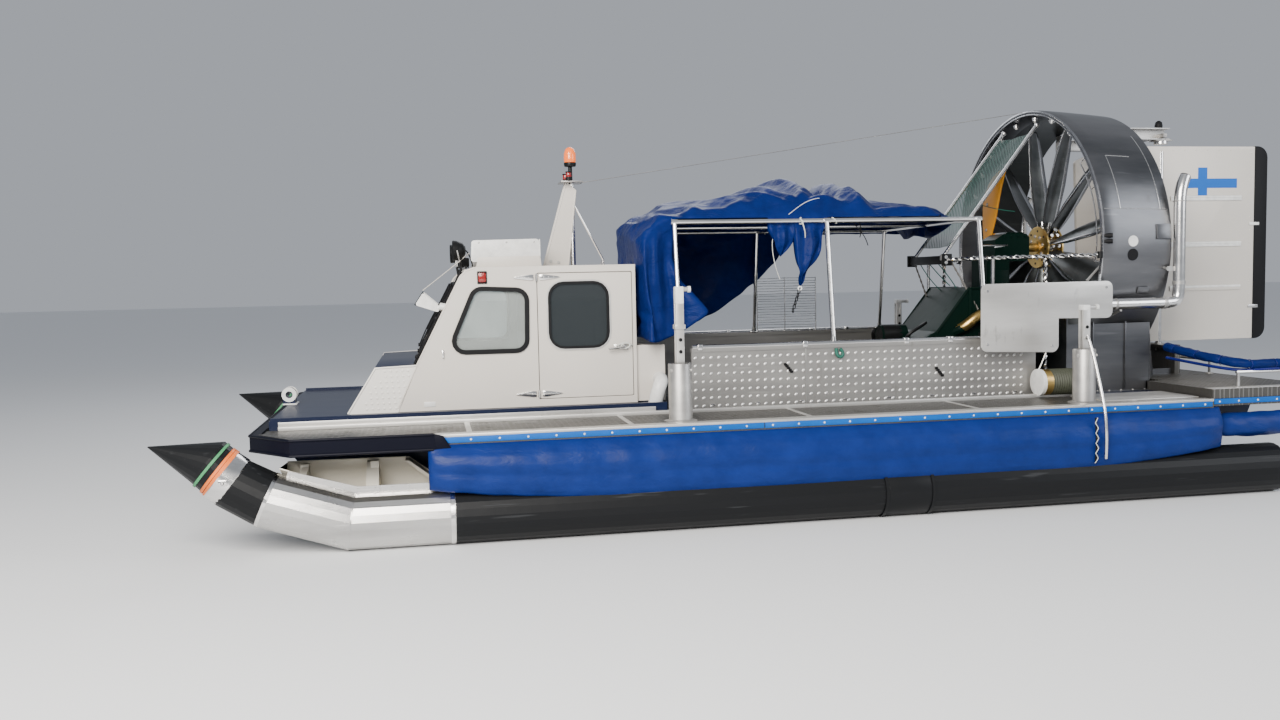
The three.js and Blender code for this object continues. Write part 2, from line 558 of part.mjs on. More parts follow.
// The duct, its pedestal, the fan and the rudders behind it.
function fanAndDuct() {
  const { z, frontX, rearX, frontRadius, rearRadius, wall } = DUCT;
  const ring = [[frontRadius, frontX], [rearRadius + 20, rearX + 120], [rearRadius, rearX],
    [rearRadius - wall, rearX], [rearRadius - wall, frontX - 200], [frontRadius - 50, frontX]]
    .map(([r, x]) => new THREE.Vector2(r, x));
  ring.push(ring[0].clone());
  const duct = new THREE.LatheGeometry(ring, 48).rotateZ(-Math.PI / 2).translate(0, 0, z);
  const beams = [RUDDER.y, -RUDDER.y].flatMap((y) => [
    box([-3900, rearX + 40], [y - 45, y + 45], [3100, 3210]),
    box([rearX - 40, rearX + 40], [y - 45, y + 45], [3200, 3275]),
  ]);
  place("duct", joined([duct, ...beams]), MATERIALS.ductSteel);

  const cradle = bar([frontX + 200, 0, z], [rearX - 800, 0, z], frontRadius + 1.5, 48);
  const foot = planProfile([[-2450, 1100], [-3270, 1100], [-3700, 560], [-3900, 560], [-3900, -560],
    [-3700, -560], [-3270, -1100], [-2450, -1100]], HULL.top + GAP, 1500);
  const under = box([-4300, SIDE_DECK.sternX], [-1300, 1300], [700, STERN.platformTop + GAP]);
  const behind = box([-4300, rearX - 20], [-1300, 1300], [1130, 1600]);
  place("pedestal", joined([foot], [cradle, under, behind]), MATERIALS.aluminium);

  const blade = loft([
    { r: 90, chord: 110, twist: 62 },
    { r: 260, chord: 170, twist: 56 },
    { r: 600, chord: 290, twist: 42 },
    { r: 950, chord: 310, twist: 30 },
    { r: FAN.tip, chord: 250, twist: 24 },
  ].map(({ r, chord, twist }) => {
    const turn = THREE.MathUtils.degToRad(twist);
    return [[-0.5, -6], [0, 18], [0.5, -6], [0, 4]].map(([along, bulge]) => {
      const u = along * chord;
      return [u * Math.sin(turn) + bulge * Math.cos(turn), u * Math.cos(turn) - bulge * Math.sin(turn), r];
    });
  }));
  const blades = Array.from({ length: FAN.blades }, (_, i) =>
    blade.clone().rotateX(((i + FAN.firstBlade / 30) * 2 * Math.PI) / FAN.blades));
  const hub = [[-90, -60, FAN.disc], [60, 90, FAN.disc], [-70, 70, 120], [80, FAN.bossX, FAN.boss]]
    .map(([from, to, radius]) => bar([from, 0, 0], [to, 0, 0], radius, 24));
  place("propeller", joined([...blades, ...hub]).translate(FAN.x, 0, z), MATERIALS.steel);

  const { y, pivotX, noseX, panelX, tailX, bottom, top, thick } = RUDDER;
  const arc = 5;
  const tail = rounded([[panelX, top], [tailX, top], [tailX, bottom], [panelX, bottom]], 110, arc)
    .slice(arc + 1, -arc - 1);
  const panel = sideProfile([[noseX - 60, bottom], [noseX, bottom + 60], [noseX + 60, top - 30],
    [noseX - 20, top], ...tail], y - thick / 2, y + thick / 2);
  const ribs = [1700, 2120, 2560].map((height) => sideProfile([[-4700, height - 34],
    [-3930, height - 34], [-3930, height + 6], [-4700, height + 6]], y - thick / 2 - 6, y + thick / 2 + 6));
  const stock = bar([pivotX, y, bottom - 20], [pivotX, y, 3090], 25, 16);
  placePair("rudder", joined([panel, ...ribs, stock]), MATERIALS.cabinPaint);
}

function sternFittings() {
  const pipe = { y: 1290, z: 1580, frontX: -2500, rearX: -3415, bend: 90, top: 2480, radius: 50 };
  const elbow = Array.from({ length: 5 }, (_, i) => {
    const turn = (i * Math.PI) / 8;
    return [pipe.rearX + pipe.bend * (1 - Math.sin(turn)), pipe.y, pipe.z + pipe.bend * (1 - Math.cos(turn))];
  });
  placePair("exhaust", joined(bars([[pipe.frontX, pipe.y, pipe.z], ...elbow,
    [pipe.rearX, pipe.y, pipe.top], [pipe.rearX - 12, pipe.y - 6, pipe.top + 80],
    [pipe.rearX - 35, pipe.y - 14, pipe.top + 150], [pipe.rearX - 62, pipe.y - 20, pipe.top + 205]],
  pipe.radius, 14)), MATERIALS.steel);
  place("shield_plate", sideProfile([[-1500, 1790], [-2730, 1780], [-2730, 1460], [-2220, 1480],
    [-2220, 1180], [-1500, 1200]], 1340, 1350), MATERIALS.aluminium);
  place("air_duct", bar([-2030, 1325, 930], [-2430, 1325, 930], 115, 18), MATERIALS.engineGreen);
  const rail = { y: 1900, z: 1010, frontX: -3500, rearX: -4200, radius: 14 };
  place("stern_rail", joined([
    ...bars([[rail.frontX, rail.y, rail.z], [rail.rearX, rail.y, rail.z], [rail.rearX, -rail.y, rail.z],
      [rail.frontX, -rail.y, rail.z]], rail.radius, 8),
    ...[[-3520, rail.y], [-4100, rail.y], [rail.rearX, 700], [rail.rearX, -700], [-4100, -rail.y],
      [-3520, -rail.y]].map(([x, y]) => bar([x, y, STERN.platformTop + GAP], [x, y, rail.z], 14, 8)),
  ]), MATERIALS.steel);
  const roll = { radius: 45, z: rail.z + rail.radius + 45 + 1 };
  place("stern_roll", joined(bars([[-3370, 1180, 1190], [-3440, 1560, 1130], [-3560, rail.y, roll.z],
    [rail.rearX, rail.y, roll.z]], roll.radius, 12)), MATERIALS.skirtFabric);
}

runnerTubes();
sprayTrays();
hull();
sideDecks();
bowApron();
sternPlatform();
skirts();
legs();
cabin();
roofPieces();
cargoSpace();
tarpaulin();
engineBay();
fanAndDuct();
sternFittings();

export default craft;
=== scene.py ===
"""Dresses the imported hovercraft: finishes, cloth, fittings, a pale stage and the camera."""
import json
from math import atan2, cos, exp, hypot, pi, radians, sin, sqrt, tan, tau

import bmesh
import bpy
from bpy.props import FloatProperty, FloatVectorProperty, IntProperty, PointerProperty
from mathutils import Matrix, Vector
from mathutils.noise import noise


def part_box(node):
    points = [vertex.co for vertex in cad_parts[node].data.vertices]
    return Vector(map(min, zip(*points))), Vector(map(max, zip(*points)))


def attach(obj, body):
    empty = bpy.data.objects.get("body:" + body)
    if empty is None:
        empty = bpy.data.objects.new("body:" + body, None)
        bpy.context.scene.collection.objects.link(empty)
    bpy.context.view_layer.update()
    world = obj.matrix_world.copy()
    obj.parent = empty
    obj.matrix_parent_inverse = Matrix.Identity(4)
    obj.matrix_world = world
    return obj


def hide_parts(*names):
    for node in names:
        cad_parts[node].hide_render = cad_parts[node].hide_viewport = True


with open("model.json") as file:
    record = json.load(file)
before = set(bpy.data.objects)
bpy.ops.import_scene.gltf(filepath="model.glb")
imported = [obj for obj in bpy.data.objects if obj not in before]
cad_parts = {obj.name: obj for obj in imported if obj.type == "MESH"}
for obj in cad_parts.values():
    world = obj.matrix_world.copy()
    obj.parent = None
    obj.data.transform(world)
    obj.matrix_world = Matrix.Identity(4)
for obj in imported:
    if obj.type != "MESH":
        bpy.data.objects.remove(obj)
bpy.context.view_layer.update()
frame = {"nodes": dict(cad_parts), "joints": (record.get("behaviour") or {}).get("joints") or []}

bl_info = {
    "name": "Pontoon hovercraft",
    "version": (1, 0, 0),
    "blender": (4, 5, 0),
    "location": "3D View > Sidebar > Hovercraft",
    "description": "Finishes and fittings of a ten-metre pontoon hovercraft with a ducted fan",
    "category": "Object",
}

SIDES = {"port": 1, "starboard": -1}
X, Y, Z = (1, 0, 0), (0, 1, 0), (0, 0, 1)


def low(node):
    """The lowest corner of a CAD node."""
    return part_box(node)[0]


def high(node):
    """The highest corner of a CAD node."""
    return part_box(node)[1]


# Sizes that the frame gives
TUBE_RADIUS = high("runner_tube_port").z / 2
TUBE_Y = high("runner_tube_port").y - TUBE_RADIUS
DECK_TOP = high("side_deck_port").z
DECK_EDGE = high("side_deck_port").y
CABIN_SIDE = high("cabin_side_port").y
ROOF_TOP = high("cabin_body").z
BULWARK_OUT = high("bulwark_port").y
RAIL_Z = high("canopy_bars").z - 0.016
DUCT_Z = (low("duct").z + high("duct").z) / 2
DUCT_FRONT = high("duct").x
ROOF_SEAT = ROOF_TOP + 0.0005
RUDDER_Y = (low("rudder_port").y + high("rudder_port").y) / 2


# Making meshes
def link_object(name, data):
    """A new object in the scene."""
    made = bpy.data.objects.new(name, data)
    bpy.context.scene.collection.objects.link(made)
    return made


def paint(verts, finish):
    """Gives the faces round some corners one of the piece's finishes, by its number."""
    faces = {face for vert in verts for face in vert.link_faces}
    for face in faces:
        face.material_index = finish
    return faces


def soften(bm, edges, width):
    """Rounds edges."""
    bmesh.ops.bevel(bm, geom=list(edges), offset=width, offset_type="OFFSET", profile=0.5, segments=2,
        affect="EDGES", material=-1)


def close_ends(bm, distance):
    """Merges the seam of a bag and closes its open ends."""
    bmesh.ops.remove_doubles(bm, verts=bm.verts[:], dist=distance)
    bmesh.ops.holes_fill(bm, edges=[edge for edge in bm.edges if edge.is_boundary], sides=0)


def add_box(bm, corner, opposite, bevel=0.0, finish=0):
    """A block between two opposite corners, with its edges rounded by bevel."""
    lowest = Vector([min(pair) for pair in zip(corner, opposite)])
    highest = Vector([max(pair) for pair in zip(corner, opposite)])
    verts = bmesh.ops.create_cube(bm, size=1.0)["verts"]
    bmesh.ops.scale(bm, vec=highest - lowest, verts=verts)
    bmesh.ops.translate(bm, vec=(lowest + highest) / 2, verts=verts)
    paint(verts, finish)
    if bevel:
        soften(bm, {edge for vert in verts for edge in vert.link_edges}, bevel)


def add_bar(bm, start, end, radius, segments=14, finish=0, end_radius=None, bevel=0.0):
    """A round bar or cone between two points."""
    start, end = Vector(start), Vector(end)
    along = end - start
    turn = along.to_track_quat("Z", "Y").to_matrix().to_4x4()
    made = bmesh.ops.create_cone(bm, cap_ends=True, segments=segments, radius1=radius,
        radius2=radius if end_radius is None else end_radius, depth=along.length,
        matrix=Matrix.Translation((start + end) / 2) @ turn)
    faces = paint(made["verts"], finish)
    if bevel:
        edges = {edge for face in faces for edge in face.edges}
        soften(bm, [edge for edge in edges if any(len(face.verts) > 4 for face in edge.link_faces)], bevel)


def add_ball(bm, centre, size, finish=0, segments=12, rings=7):
    """A ball, or an egg where size is three numbers."""
    size = Vector((size, size, size)) if isinstance(size, float) else Vector(size)
    verts = bmesh.ops.create_uvsphere(bm, u_segments=segments, v_segments=rings, radius=1.0)["verts"]
    bmesh.ops.scale(bm, vec=size, verts=verts)
    bmesh.ops.translate(bm, vec=Vector(centre), verts=verts)
    paint(verts, finish)


def add_lathe(bm, profile, centre, axis, steps=48, finish=0):
    """A profile of (along, radius) points turned about an axis."""
    axis = Vector(axis).normalized()
    across = axis.orthogonal().normalized()
    centre = Vector(centre)
    verts = [bm.verts.new(centre + axis * along + across * radius) for along, radius in profile]
    edges = [bm.edges.new(pair) for pair in zip(verts, verts[1:])]
    bmesh.ops.spin(bm, geom=verts + edges, cent=centre, axis=axis, angle=tau, steps=steps, use_merge=True,
        use_duplicate=False)
    faces = {face for vert in verts if vert.is_valid for face in vert.link_faces}
    more = faces
    while more:
        more = {f for face in more for edge in face.edges for f in edge.link_faces} - faces
        faces |= more
    for face in faces:
        face.material_index = finish


def add_plate(bm, outline, origin, across, up, thickness, finish=0, bevel=0.0):
    """A flat plate: outline points are (across, up) from origin, and it is thick along their normal."""
    across, up, origin = Vector(across), Vector(up), Vector(origin)
    normal = across.cross(up).normalized()
    face = bm.faces.new([bm.verts.new(origin + across * a + up * b) for a, b in outline])
    made = bmesh.ops.extrude_face_region(bm, geom=[face])
    moved = [v for v in made["geom"] if isinstance(v, bmesh.types.BMVert)]
    bmesh.ops.translate(bm, vec=normal * thickness, verts=moved)
    faces = paint(moved, finish) | {face}
    face.material_index = finish
    if bevel:
        soften(bm, {edge for one in faces for edge in one.edges}, bevel)


def add_side_plate(bm, outline, y, thickness, finish=0, bevel=0.0):
    """A plate drawn in the side view: it runs from y towards starboard."""
    add_plate(bm, outline, (0, y, 0), X, Z, thickness, finish, bevel)


def oblong(left, right, bottom, top):
    """The corners of a rectangle."""
    return [(left, bottom), (right, bottom), (right, top), (left, top)]


def rounded(corners, radius, steps=5):
    """An outline with its corners turned into arcs."""
    points = []
    for i, corner in enumerate(corners):
        here = Vector(corner)
        before = (Vector(corners[i - 1]) - here).normalized()
        after = (Vector(corners[(i + 1) % len(corners)]) - here).normalized()
        half = before.angle(after) / 2
        reach = radius / tan(half)
        start, end = here + before * reach, here + after * reach
        centre = here + (before + after).normalized() * (radius / sin(half))
        for k in range(steps + 1):
            arm = (start - centre).slerp(end - centre, k / steps)
            points.append(tuple(centre + arm.normalized() * radius))
    return points


def add_tube(bm, points, radius, segments=8, smooth=True, finish=0, step=10):
    """A round tube along points, on a smooth curve or with sharp bends."""
    curve = bpy.data.curves.new("route", "CURVE")
    curve.dimensions = "3D"
    curve.bevel_depth = radius
    curve.bevel_resolution = max(1, segments // 4)
    curve.use_fill_caps = True
    spline = curve.splines.new("NURBS" if smooth else "POLY")
    spline.points.add(len(points) - 1)
    for place, point in zip(spline.points, points):
        place.co = (*point, 1.0)
    if smooth:
        spline.order_u = 4
        spline.use_endpoint_u = True
        spline.resolution_u = step
    carrier = bpy.data.objects.new("route", curve)
    mesh = bpy.data.meshes.new_from_object(carrier)
    before = len(bm.faces)
    bm.from_mesh(mesh)
    bm.faces.ensure_lookup_table()
    for face in bm.faces[before:]:
        face.material_index = finish
    bpy.data.objects.remove(carrier)
    bpy.data.curves.remove(curve)
    bpy.data.meshes.remove(mesh)


def finish_piece(bm, name, materials, body="root", replaces=(), smooth=35.0, recalc=True,
        doubles=0.00001):
    """Turns a bmesh into a named piece that rides on a body."""
    if doubles:
        bmesh.ops.remove_doubles(bm, verts=bm.verts[:], dist=doubles)
    if recalc:
        bmesh.ops.recalc_face_normals(bm, faces=bm.faces[:])
    mesh = bpy.data.meshes.new(name)
    bm.to_mesh(mesh)
    bm.free()
    piece = link_object(name, mesh)
    for key in materials:
        mesh.materials.append(MATERIALS[key])
    shade(piece, smooth)
    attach(piece, body)
    if replaces:
        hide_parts(*replaces)
    return piece


def shade(piece, angle):
    """Smooth shading, with edges sharper than angle kept."""
    mesh = piece.data
    mesh.shade_smooth()
    mesh.set_sharp_from_angle(angle=radians(angle))


# Shader node groups
def new_group(name, inputs, outputs):
    """An empty shader group with float inputs (name, default) and float outputs."""
    group = bpy.data.node_groups.new(name, "ShaderNodeTree")
    for label, value in inputs:
        socket = group.interface.new_socket(label, in_out="INPUT", socket_type="NodeSocketFloat")
        socket.default_value = value
    for label in outputs:
        group.interface.new_socket(label, in_out="OUTPUT", socket_type="NodeSocketFloat")
    return group, Wiring(group)


class Wiring:
    """Adds nodes to a tree in short words and joins their sockets."""

    def __init__(self, tree):
        self.tree = tree

    def add(self, kind, feeds=None, **settings):
        node = self.tree.nodes.new(kind)
        for key, value in settings.items():
            setattr(node, key, value)
        for key, value in (feeds or {}).items():
            socket = node.inputs[key]
            if isinstance(value, bpy.types.NodeSocket):
                self.tree.links.new(value, socket)
            else:
                socket.default_value = value
        return node

    def math(self, operation, *values, clamp=False):
        feeds = dict(enumerate(values))
        return self.add("ShaderNodeMath", feeds, operation=operation, use_clamp=clamp).outputs[0]

    def times(self, *values, clamp=False):
        return self.math("MULTIPLY", *values, clamp=clamp)

    def plus(self, *values, clamp=False):
        return self.math("ADD", *values, clamp=clamp)

    def minus(self, *values, clamp=False):
        return self.math("SUBTRACT", *values, clamp=clamp)

    def put_out(self, **values):
        """Feeds a group's outputs."""
        out = self.add("NodeGroupOutput")
        for key, value in values.items():
            self.tree.links.new(value, out.inputs[key])

    def ramp(self, value, stops):
        """A colour ramp from (position, grey or colour) stops."""
        node = self.add("ShaderNodeValToRGB", {"Fac": value})
        elements = node.color_ramp.elements
        while len(elements) < len(stops):
            elements.new(0.5)
        for element, (position, colour) in zip(elements, stops):
            element.position = position
            element.color = (*([colour] * 3 if isinstance(colour, float) else colour), 1.0)
        return node.outputs["Color"]

    def blend(self, factor, first, second, kind="MIX"):
        """Mixes two colours by a factor."""
        # The colour sockets of this node are its seventh and eighth
        node = self.add("ShaderNodeMix", data_type="RGBA", blend_type=kind)
        for index, value in ((0, factor), (6, first), (7, second)):
            if isinstance(value, bpy.types.NodeSocket):
                self.tree.links.new(value, node.inputs[index])
            elif index:
                node.inputs[index].default_value = (*value[:3], 1.0)
            else:
                node.inputs[index].default_value = value
        return node.outputs[2]

    def place(self, scale=(1.0, 1.0, 1.0), turn=(0.0, 0.0, 0.0)):
        """Object coordinates, stretched and turned."""
        where = self.add("ShaderNodeTexCoord").outputs["Object"]
        return self.add("ShaderNodeMapping", {"Vector": where, "Scale": scale, "Rotation": turn}).outputs[0]

    def noise(self, vector, scale, detail=4.0, roughness=0.55, distortion=0.0):
        node = self.add("ShaderNodeTexNoise", {"Vector": vector, "Scale": scale, "Detail": detail,
            "Roughness": roughness, "Distortion": distortion})
        return node.outputs["Fac"]


def grime_group():
    """Dirt in patches and in streaks that run down: Mask, and a slow Tone."""
    group, w = new_group("grime", [("Scale", 1.0), ("Amount", 0.5)], ["Mask", "Tone"])
    given = w.add("NodeGroupInput").outputs
    patches = w.noise(w.place((1.2, 1.2, 1.2)), w.times(given["Scale"], 2.6), 7.0, 0.62)
    streaks = w.noise(w.place((9.0, 9.0, 0.7)), w.times(given["Scale"], 1.5), 5.0, 0.6)
    mixed = w.plus(w.times(patches, 0.62), w.times(streaks, 0.38))
    edge = w.minus(0.72, w.times(given["Amount"], 0.3))
    dirty = w.times(w.minus(mixed, edge), 5.0, clamp=True)
    fine = w.noise(w.place(), w.times(given["Scale"], 30.0), 3.0)
    mask = w.times(dirty, w.plus(0.55, w.times(fine, 0.9)), clamp=True)
    w.put_out(Mask=mask, Tone=w.noise(w.place(), 0.9, 3.0))
    return group


def grain_group():
    """Brush marks along X, with a few long scratches: Height, Tone and Scratch."""
    group, w = new_group("grain", [("Scale", 1.0)], ["Height", "Tone", "Scratch"])
    given = w.add("NodeGroupInput").outputs
    lines = w.noise(w.place((0.35, 14.0, 14.0)), w.times(given["Scale"], 22.0), 3.0, 0.7)
    broad = w.noise(w.place((0.5, 3.0, 3.0)), w.times(given["Scale"], 1.7), 5.0, 0.6)
    marks = w.noise(w.place((1.0, 22.0, 16.0), (0.1, 0.35, 0.5)), w.times(given["Scale"], 2.2), 2.0)
    scratch = w.times(w.minus(marks, 0.66), 14.0, clamp=True)
    w.put_out(Height=w.plus(lines, w.times(scratch, -0.8)), Tone=broad, Scratch=scratch)
    return group


def weave_group():
    """A plain weave of threads: Height. Threads is the count per metre."""
    group, w = new_group("weave", [("Threads", 500.0)], ["Height"])
    given = w.add("NodeGroupInput").outputs
    parts = w.add("ShaderNodeSeparateXYZ", {"Vector": w.place()}).outputs
    waves = [w.math("SINE", w.times(w.times(part, given["Threads"]), pi)) for part in parts]
    total = w.plus(w.plus(waves[0], waves[1]), waves[2])
    w.put_out(Height=w.times(total, 0.33))
    return group


def tread_group():
    """Raised bars set at a right angle to each other, as on chequer plate, seen from above: Height."""
    group, w = new_group("tread", [("Pitch", 0.04)], ["Height"])
    given = w.add("NodeGroupInput").outputs
    parts = w.add("ShaderNodeSeparateXYZ", {"Vector": w.place()}).outputs
    u = w.math("DIVIDE", parts["X"], given["Pitch"])
    v = w.math("DIVIDE", parts["Y"], given["Pitch"])
    odd = w.math("MODULO", w.math("ABSOLUTE", w.plus(w.math("FLOOR", u), w.math("FLOOR", v))), 2.0)
    du = w.minus(w.math("FRACT", u), 0.5)
    dv = w.minus(w.math("FRACT", v), 0.5)
    side = w.minus(w.times(odd, 2.0), 1.0)
    along = w.plus(du, w.times(dv, side))
    across = w.minus(du, w.times(dv, side))
    oval = w.plus(w.math("POWER", w.times(along, 1.25), 2.0), w.math("POWER", w.times(across, 4.2), 2.0))
    w.put_out(Height=w.times(w.minus(0.5, oval), 3.0, clamp=True))
    return group


GROUPS = {"grime": grime_group(), "grain": grain_group(), "weave": weave_group(), "tread": tread_group()}


# Finishes
class Finish:
    """One material in the making: its Principled shader and its wiring."""

    def __init__(self, name, colour=None, **constants):
        self.material = bpy.data.materials.new(name)
        self.material.use_nodes = True
        self.wiring = Wiring(self.material.node_tree)
        self.shader = self.material.node_tree.nodes["Principled BSDF"]
        if colour:
            self.shader.inputs["Base Color"].default_value = (*colour, 1.0)
        for key, value in constants.items():
            self.shader.inputs[key.replace("_", " ").title().replace("Ior", "IOR")].default_value = value

    def group(self, key, **values):
        node = self.wiring.add("ShaderNodeGroup", node_tree=GROUPS[key])
        for label, value in values.items():
            node.inputs[label].default_value = value
        return node.outputs

    def feed(self, **sockets):
        for key, value in sockets.items():
            self.wiring.tree.links.new(value, self.shader.inputs[key.replace("_", " ").title()])

    def bump(self, height, strength=0.3, distance=0.002, under=None):
        feeds = {"Height": height, "Strength": strength, "Distance": distance}
        if under:
            feeds["Normal"] = under
        return self.wiring.add("ShaderNodeBump", feeds).outputs[0]


def painted(name, colour, dirt, roughness=0.42, amount=0.45, scale=1.0, coat=0.0, pits=0.12, shine=0.5):
    """Paint with dirt in patches and streaks, and a faint orange peel."""
    finish = Finish(name, coat_weight=coat, coat_roughness=0.12, specular_ior_level=shine)
    w = finish.wiring
    grime = finish.group("grime", Scale=scale, Amount=amount)
    tone = w.ramp(grime["Tone"], [(0.3, tuple(c * 0.93 for c in colour)),
        (0.7, tuple(min(1, c * 1.05) for c in colour))])
    finish.feed(base_color=w.blend(grime["Mask"], tone, dirt))
    rough = w.plus(roughness, w.times(grime["Mask"], 0.3), clamp=True)
    finish.feed(roughness=rough)
    peel = w.noise(w.place(), 220.0, 2.0)
    broad = w.noise(w.place(), 3.5, 2.0)
    under = finish.bump(broad, 0.25, 0.012)
    finish.feed(normal=finish.bump(peel, pits, 0.0006, under))
    return finish.material


def brushed(name, light, dark, roughness=0.3, metallic=0.9, scale=1.0, dirt=(0.12, 0.11, 0.1), amount=0.3,
        dents=0.15):
    """Sheet metal with brush marks, scratches and stains."""
    finish = Finish(name, metallic=metallic)
    w = finish.wiring
    grain = finish.group("grain", Scale=scale)
    grime = finish.group("grime", Scale=1.6, Amount=amount)
    tone = w.ramp(grain["Tone"], [(0.32, dark), (0.68, light)])
    scratched = w.blend(w.times(grain["Scratch"], 0.35), tone, tuple(min(1.0, c * 1.35) for c in light))
    finish.feed(base_color=w.blend(w.times(grime["Mask"], 0.7), scratched, dirt))
    rough = w.plus(w.plus(roughness - 0.08, w.times(grain["Tone"], 0.16)), w.times(grime["Mask"], 0.28),
        clamp=True)
    finish.feed(roughness=rough)
    under = finish.bump(w.noise(w.place(), 2.2, 2.0), dents, 0.02)
    finish.feed(normal=finish.bump(grain["Height"], 0.12, 0.0004, under))
    return finish.material


def tread_plate(name, light, dark, pitch=0.045, dirt=(0.1, 0.09, 0.08), amount=0.6):
    """Chequer plate, bright on top of its bars and dirty between them."""
    finish = Finish(name, metallic=0.75)
    w = finish.wiring
    bars = finish.group("tread", Pitch=pitch)["Height"]
    grime = finish.group("grime", Scale=2.0, Amount=amount)
    hollow = w.minus(1.0, bars)
    dirty = w.times(w.plus(grime["Mask"], 0.25), hollow, clamp=True)
    base = w.blend(bars, dark, light)
    finish.feed(base_color=w.blend(dirty, base, dirt))
    finish.feed(roughness=w.plus(0.34, w.times(dirty, 0.4), clamp=True))
    finish.feed(normal=finish.bump(bars, 0.8, 0.003))
    return finish.material


def cloth(name, colour, shade_colour, roughness=0.45, threads=700.0, sheen=0.02, crease=0.25,
        crease_scale=14.0, dirt=(0.12, 0.15, 0.22), amount=0.12, shine=0.22):
    """Coated fabric with a fine weave, small creases and dust."""
    finish = Finish(name, sheen_weight=sheen, sheen_roughness=0.4, specular_ior_level=shine)
    w = finish.wiring
    grime = finish.group("grime", Scale=1.4, Amount=amount)
    tone = w.ramp(w.noise(w.place(), 5.0, 6.0, 0.65), [(0.3, shade_colour), (0.7, colour)])
    finish.feed(base_color=w.blend(w.times(grime["Mask"], 0.5), tone, dirt))
    finish.feed(roughness=w.plus(roughness - 0.06, w.times(grime["Tone"], 0.18)))
    rumple = w.add("ShaderNodeTexVoronoi", {"Vector": w.place((1.0, 1.0, 0.6)), "Scale": crease_scale},
        feature="SMOOTH_F1").outputs["Distance"]
    wavy = w.plus(w.times(rumple, 0.5), w.noise(w.place((0.7, 1.0, 1.4)), crease_scale, 5.0, 0.6, 0.8))
    under = finish.bump(wavy, crease, 0.02)
    finish.feed(normal=finish.bump(finish.group("weave", Threads=threads)["Height"], 0.12, 0.0006, under))
    return finish.material


def pipe_plastic(name, colour=(0.008, 0.0085, 0.0095), roughness=0.4, wear=0.16):
    """Black polyethylene, scuffed grey in long scratches."""
    finish = Finish(name, specular_ior_level=0.16)
    w = finish.wiring
    grain = finish.group("grain", Scale=0.8)
    grime = finish.group("grime", Scale=1.8, Amount=wear)
    worn = w.plus(w.times(grain["Scratch"], 0.35), w.times(grime["Mask"], 0.3), clamp=True)
    finish.feed(base_color=w.blend(worn, colour, (0.06, 0.063, 0.068)))
    finish.feed(roughness=w.plus(roughness, w.times(worn, 0.35), clamp=True))
    under = finish.bump(w.noise(w.place(), 6.0, 4.0), 0.2, 0.01)
    finish.feed(normal=finish.bump(grain["Height"], 0.15, 0.0008, under))
    return finish.material


def plain(name, colour, roughness=0.4, metallic=0.0, fine=300.0, strength=0.1, vary=0.12, **constants):
    """A small fitting's finish: a little variation in tone and gloss."""
    finish = Finish(name, metallic=metallic, **constants)
    w = finish.wiring
    speck = w.noise(w.place(), 18.0, 6.0, 0.65)
    finish.feed(base_color=w.ramp(speck, [(0.3, tuple(c * (1 - vary) for c in colour)),
        (0.7, tuple(min(1.0, c * (1 + vary)) for c in colour))]))
    finish.feed(roughness=w.plus(roughness - 0.08, w.times(speck, 0.18), clamp=True))
    finish.feed(normal=finish.bump(w.noise(w.place(), fine, 3.0), strength, 0.0005))
    return finish.material


def tinted_glass(name, colour=(0.05, 0.06, 0.065), roughness=0.03):
    """Dark window glass."""
    finish = Finish(name, colour, transmission_weight=0.55, ior=1.45, coat_weight=0.4, coat_roughness=0.02)
    w = finish.wiring
    film = w.noise(w.place(), 4.0, 5.0)
    finish.feed(roughness=w.plus(roughness, w.times(film, 0.06)))
    return finish.material


def clear_glass(name):
    """A pane that is seen through, with a faint film of dust."""
    finish = Finish(name, (0.93, 0.97, 0.95), roughness=0.02, ior=1.45)
    w = finish.wiring
    sheer = w.add("ShaderNodeBsdfTransparent", {"Color": (0.86, 0.9, 0.89, 1.0)}).outputs[0]
    film = w.plus(0.08, w.times(w.noise(w.place(), 5.0, 5.0), 0.12))
    edge = w.add("ShaderNodeFresnel", {"IOR": 1.5}).outputs[0]
    mixed = w.add("ShaderNodeMixShader", {0: w.plus(film, edge, clamp=True), 1: sheer,
        2: finish.shader.outputs[0]})
    w.tree.links.new(mixed.outputs[0], w.tree.nodes["Material Output"].inputs["Surface"])
    return finish.material


def net_mesh(name, colour, pitch=0.05, cord=0.12):
    """A knotted net's diamonds, with a half-clear film of the net's colour between its cords."""
    finish = Finish(name, colour, roughness=0.6)
    w = finish.wiring
    parts = w.add("ShaderNodeSeparateXYZ", {"Vector": w.place()}).outputs
    across = w.math("DIVIDE", parts["Y"], pitch)
    along = w.math("DIVIDE", parts["Z"], pitch * 0.62)
    wobble = w.times(w.noise(w.place(), 3.0, 2.0), 0.9)
    lines = []
    for slope in (1.0, -1.0):
        place = w.plus(w.plus(across, w.times(along, slope)), wobble)
        near = w.math("ABSOLUTE", w.minus(w.math("FRACT", place), 0.5))
        lines.append(w.math("LESS_THAN", near, cord))
    knots = w.times(lines[0], lines[1])
    solid = w.math("MAXIMUM", lines[0], lines[1])
    finish.feed(alpha=w.math("MAXIMUM", solid, 0.55))
    finish.feed(base_color=w.ramp(knots, [(0.0, colour), (1.0, tuple(c * 1.4 for c in colour))]))
    return finish.material


def lamp_lens(name, colour, glow=0.25):
    """A coloured ribbed lens."""
    finish = Finish(name, colour, transmission_weight=0.25, roughness=0.18, emission_strength=glow,
        coat_weight=0.6)
    finish.shader.inputs["Emission Color"].default_value = (*colour, 1.0)
    w = finish.wiring
    ribs = w.add("ShaderNodeTexWave", {"Vector": w.place(), "Scale": 28.0, "Distortion": 0.3},
        bands_direction="X").outputs["Fac"]
    finish.feed(normal=finish.bump(ribs, 0.3, 0.002))
    return finish.material


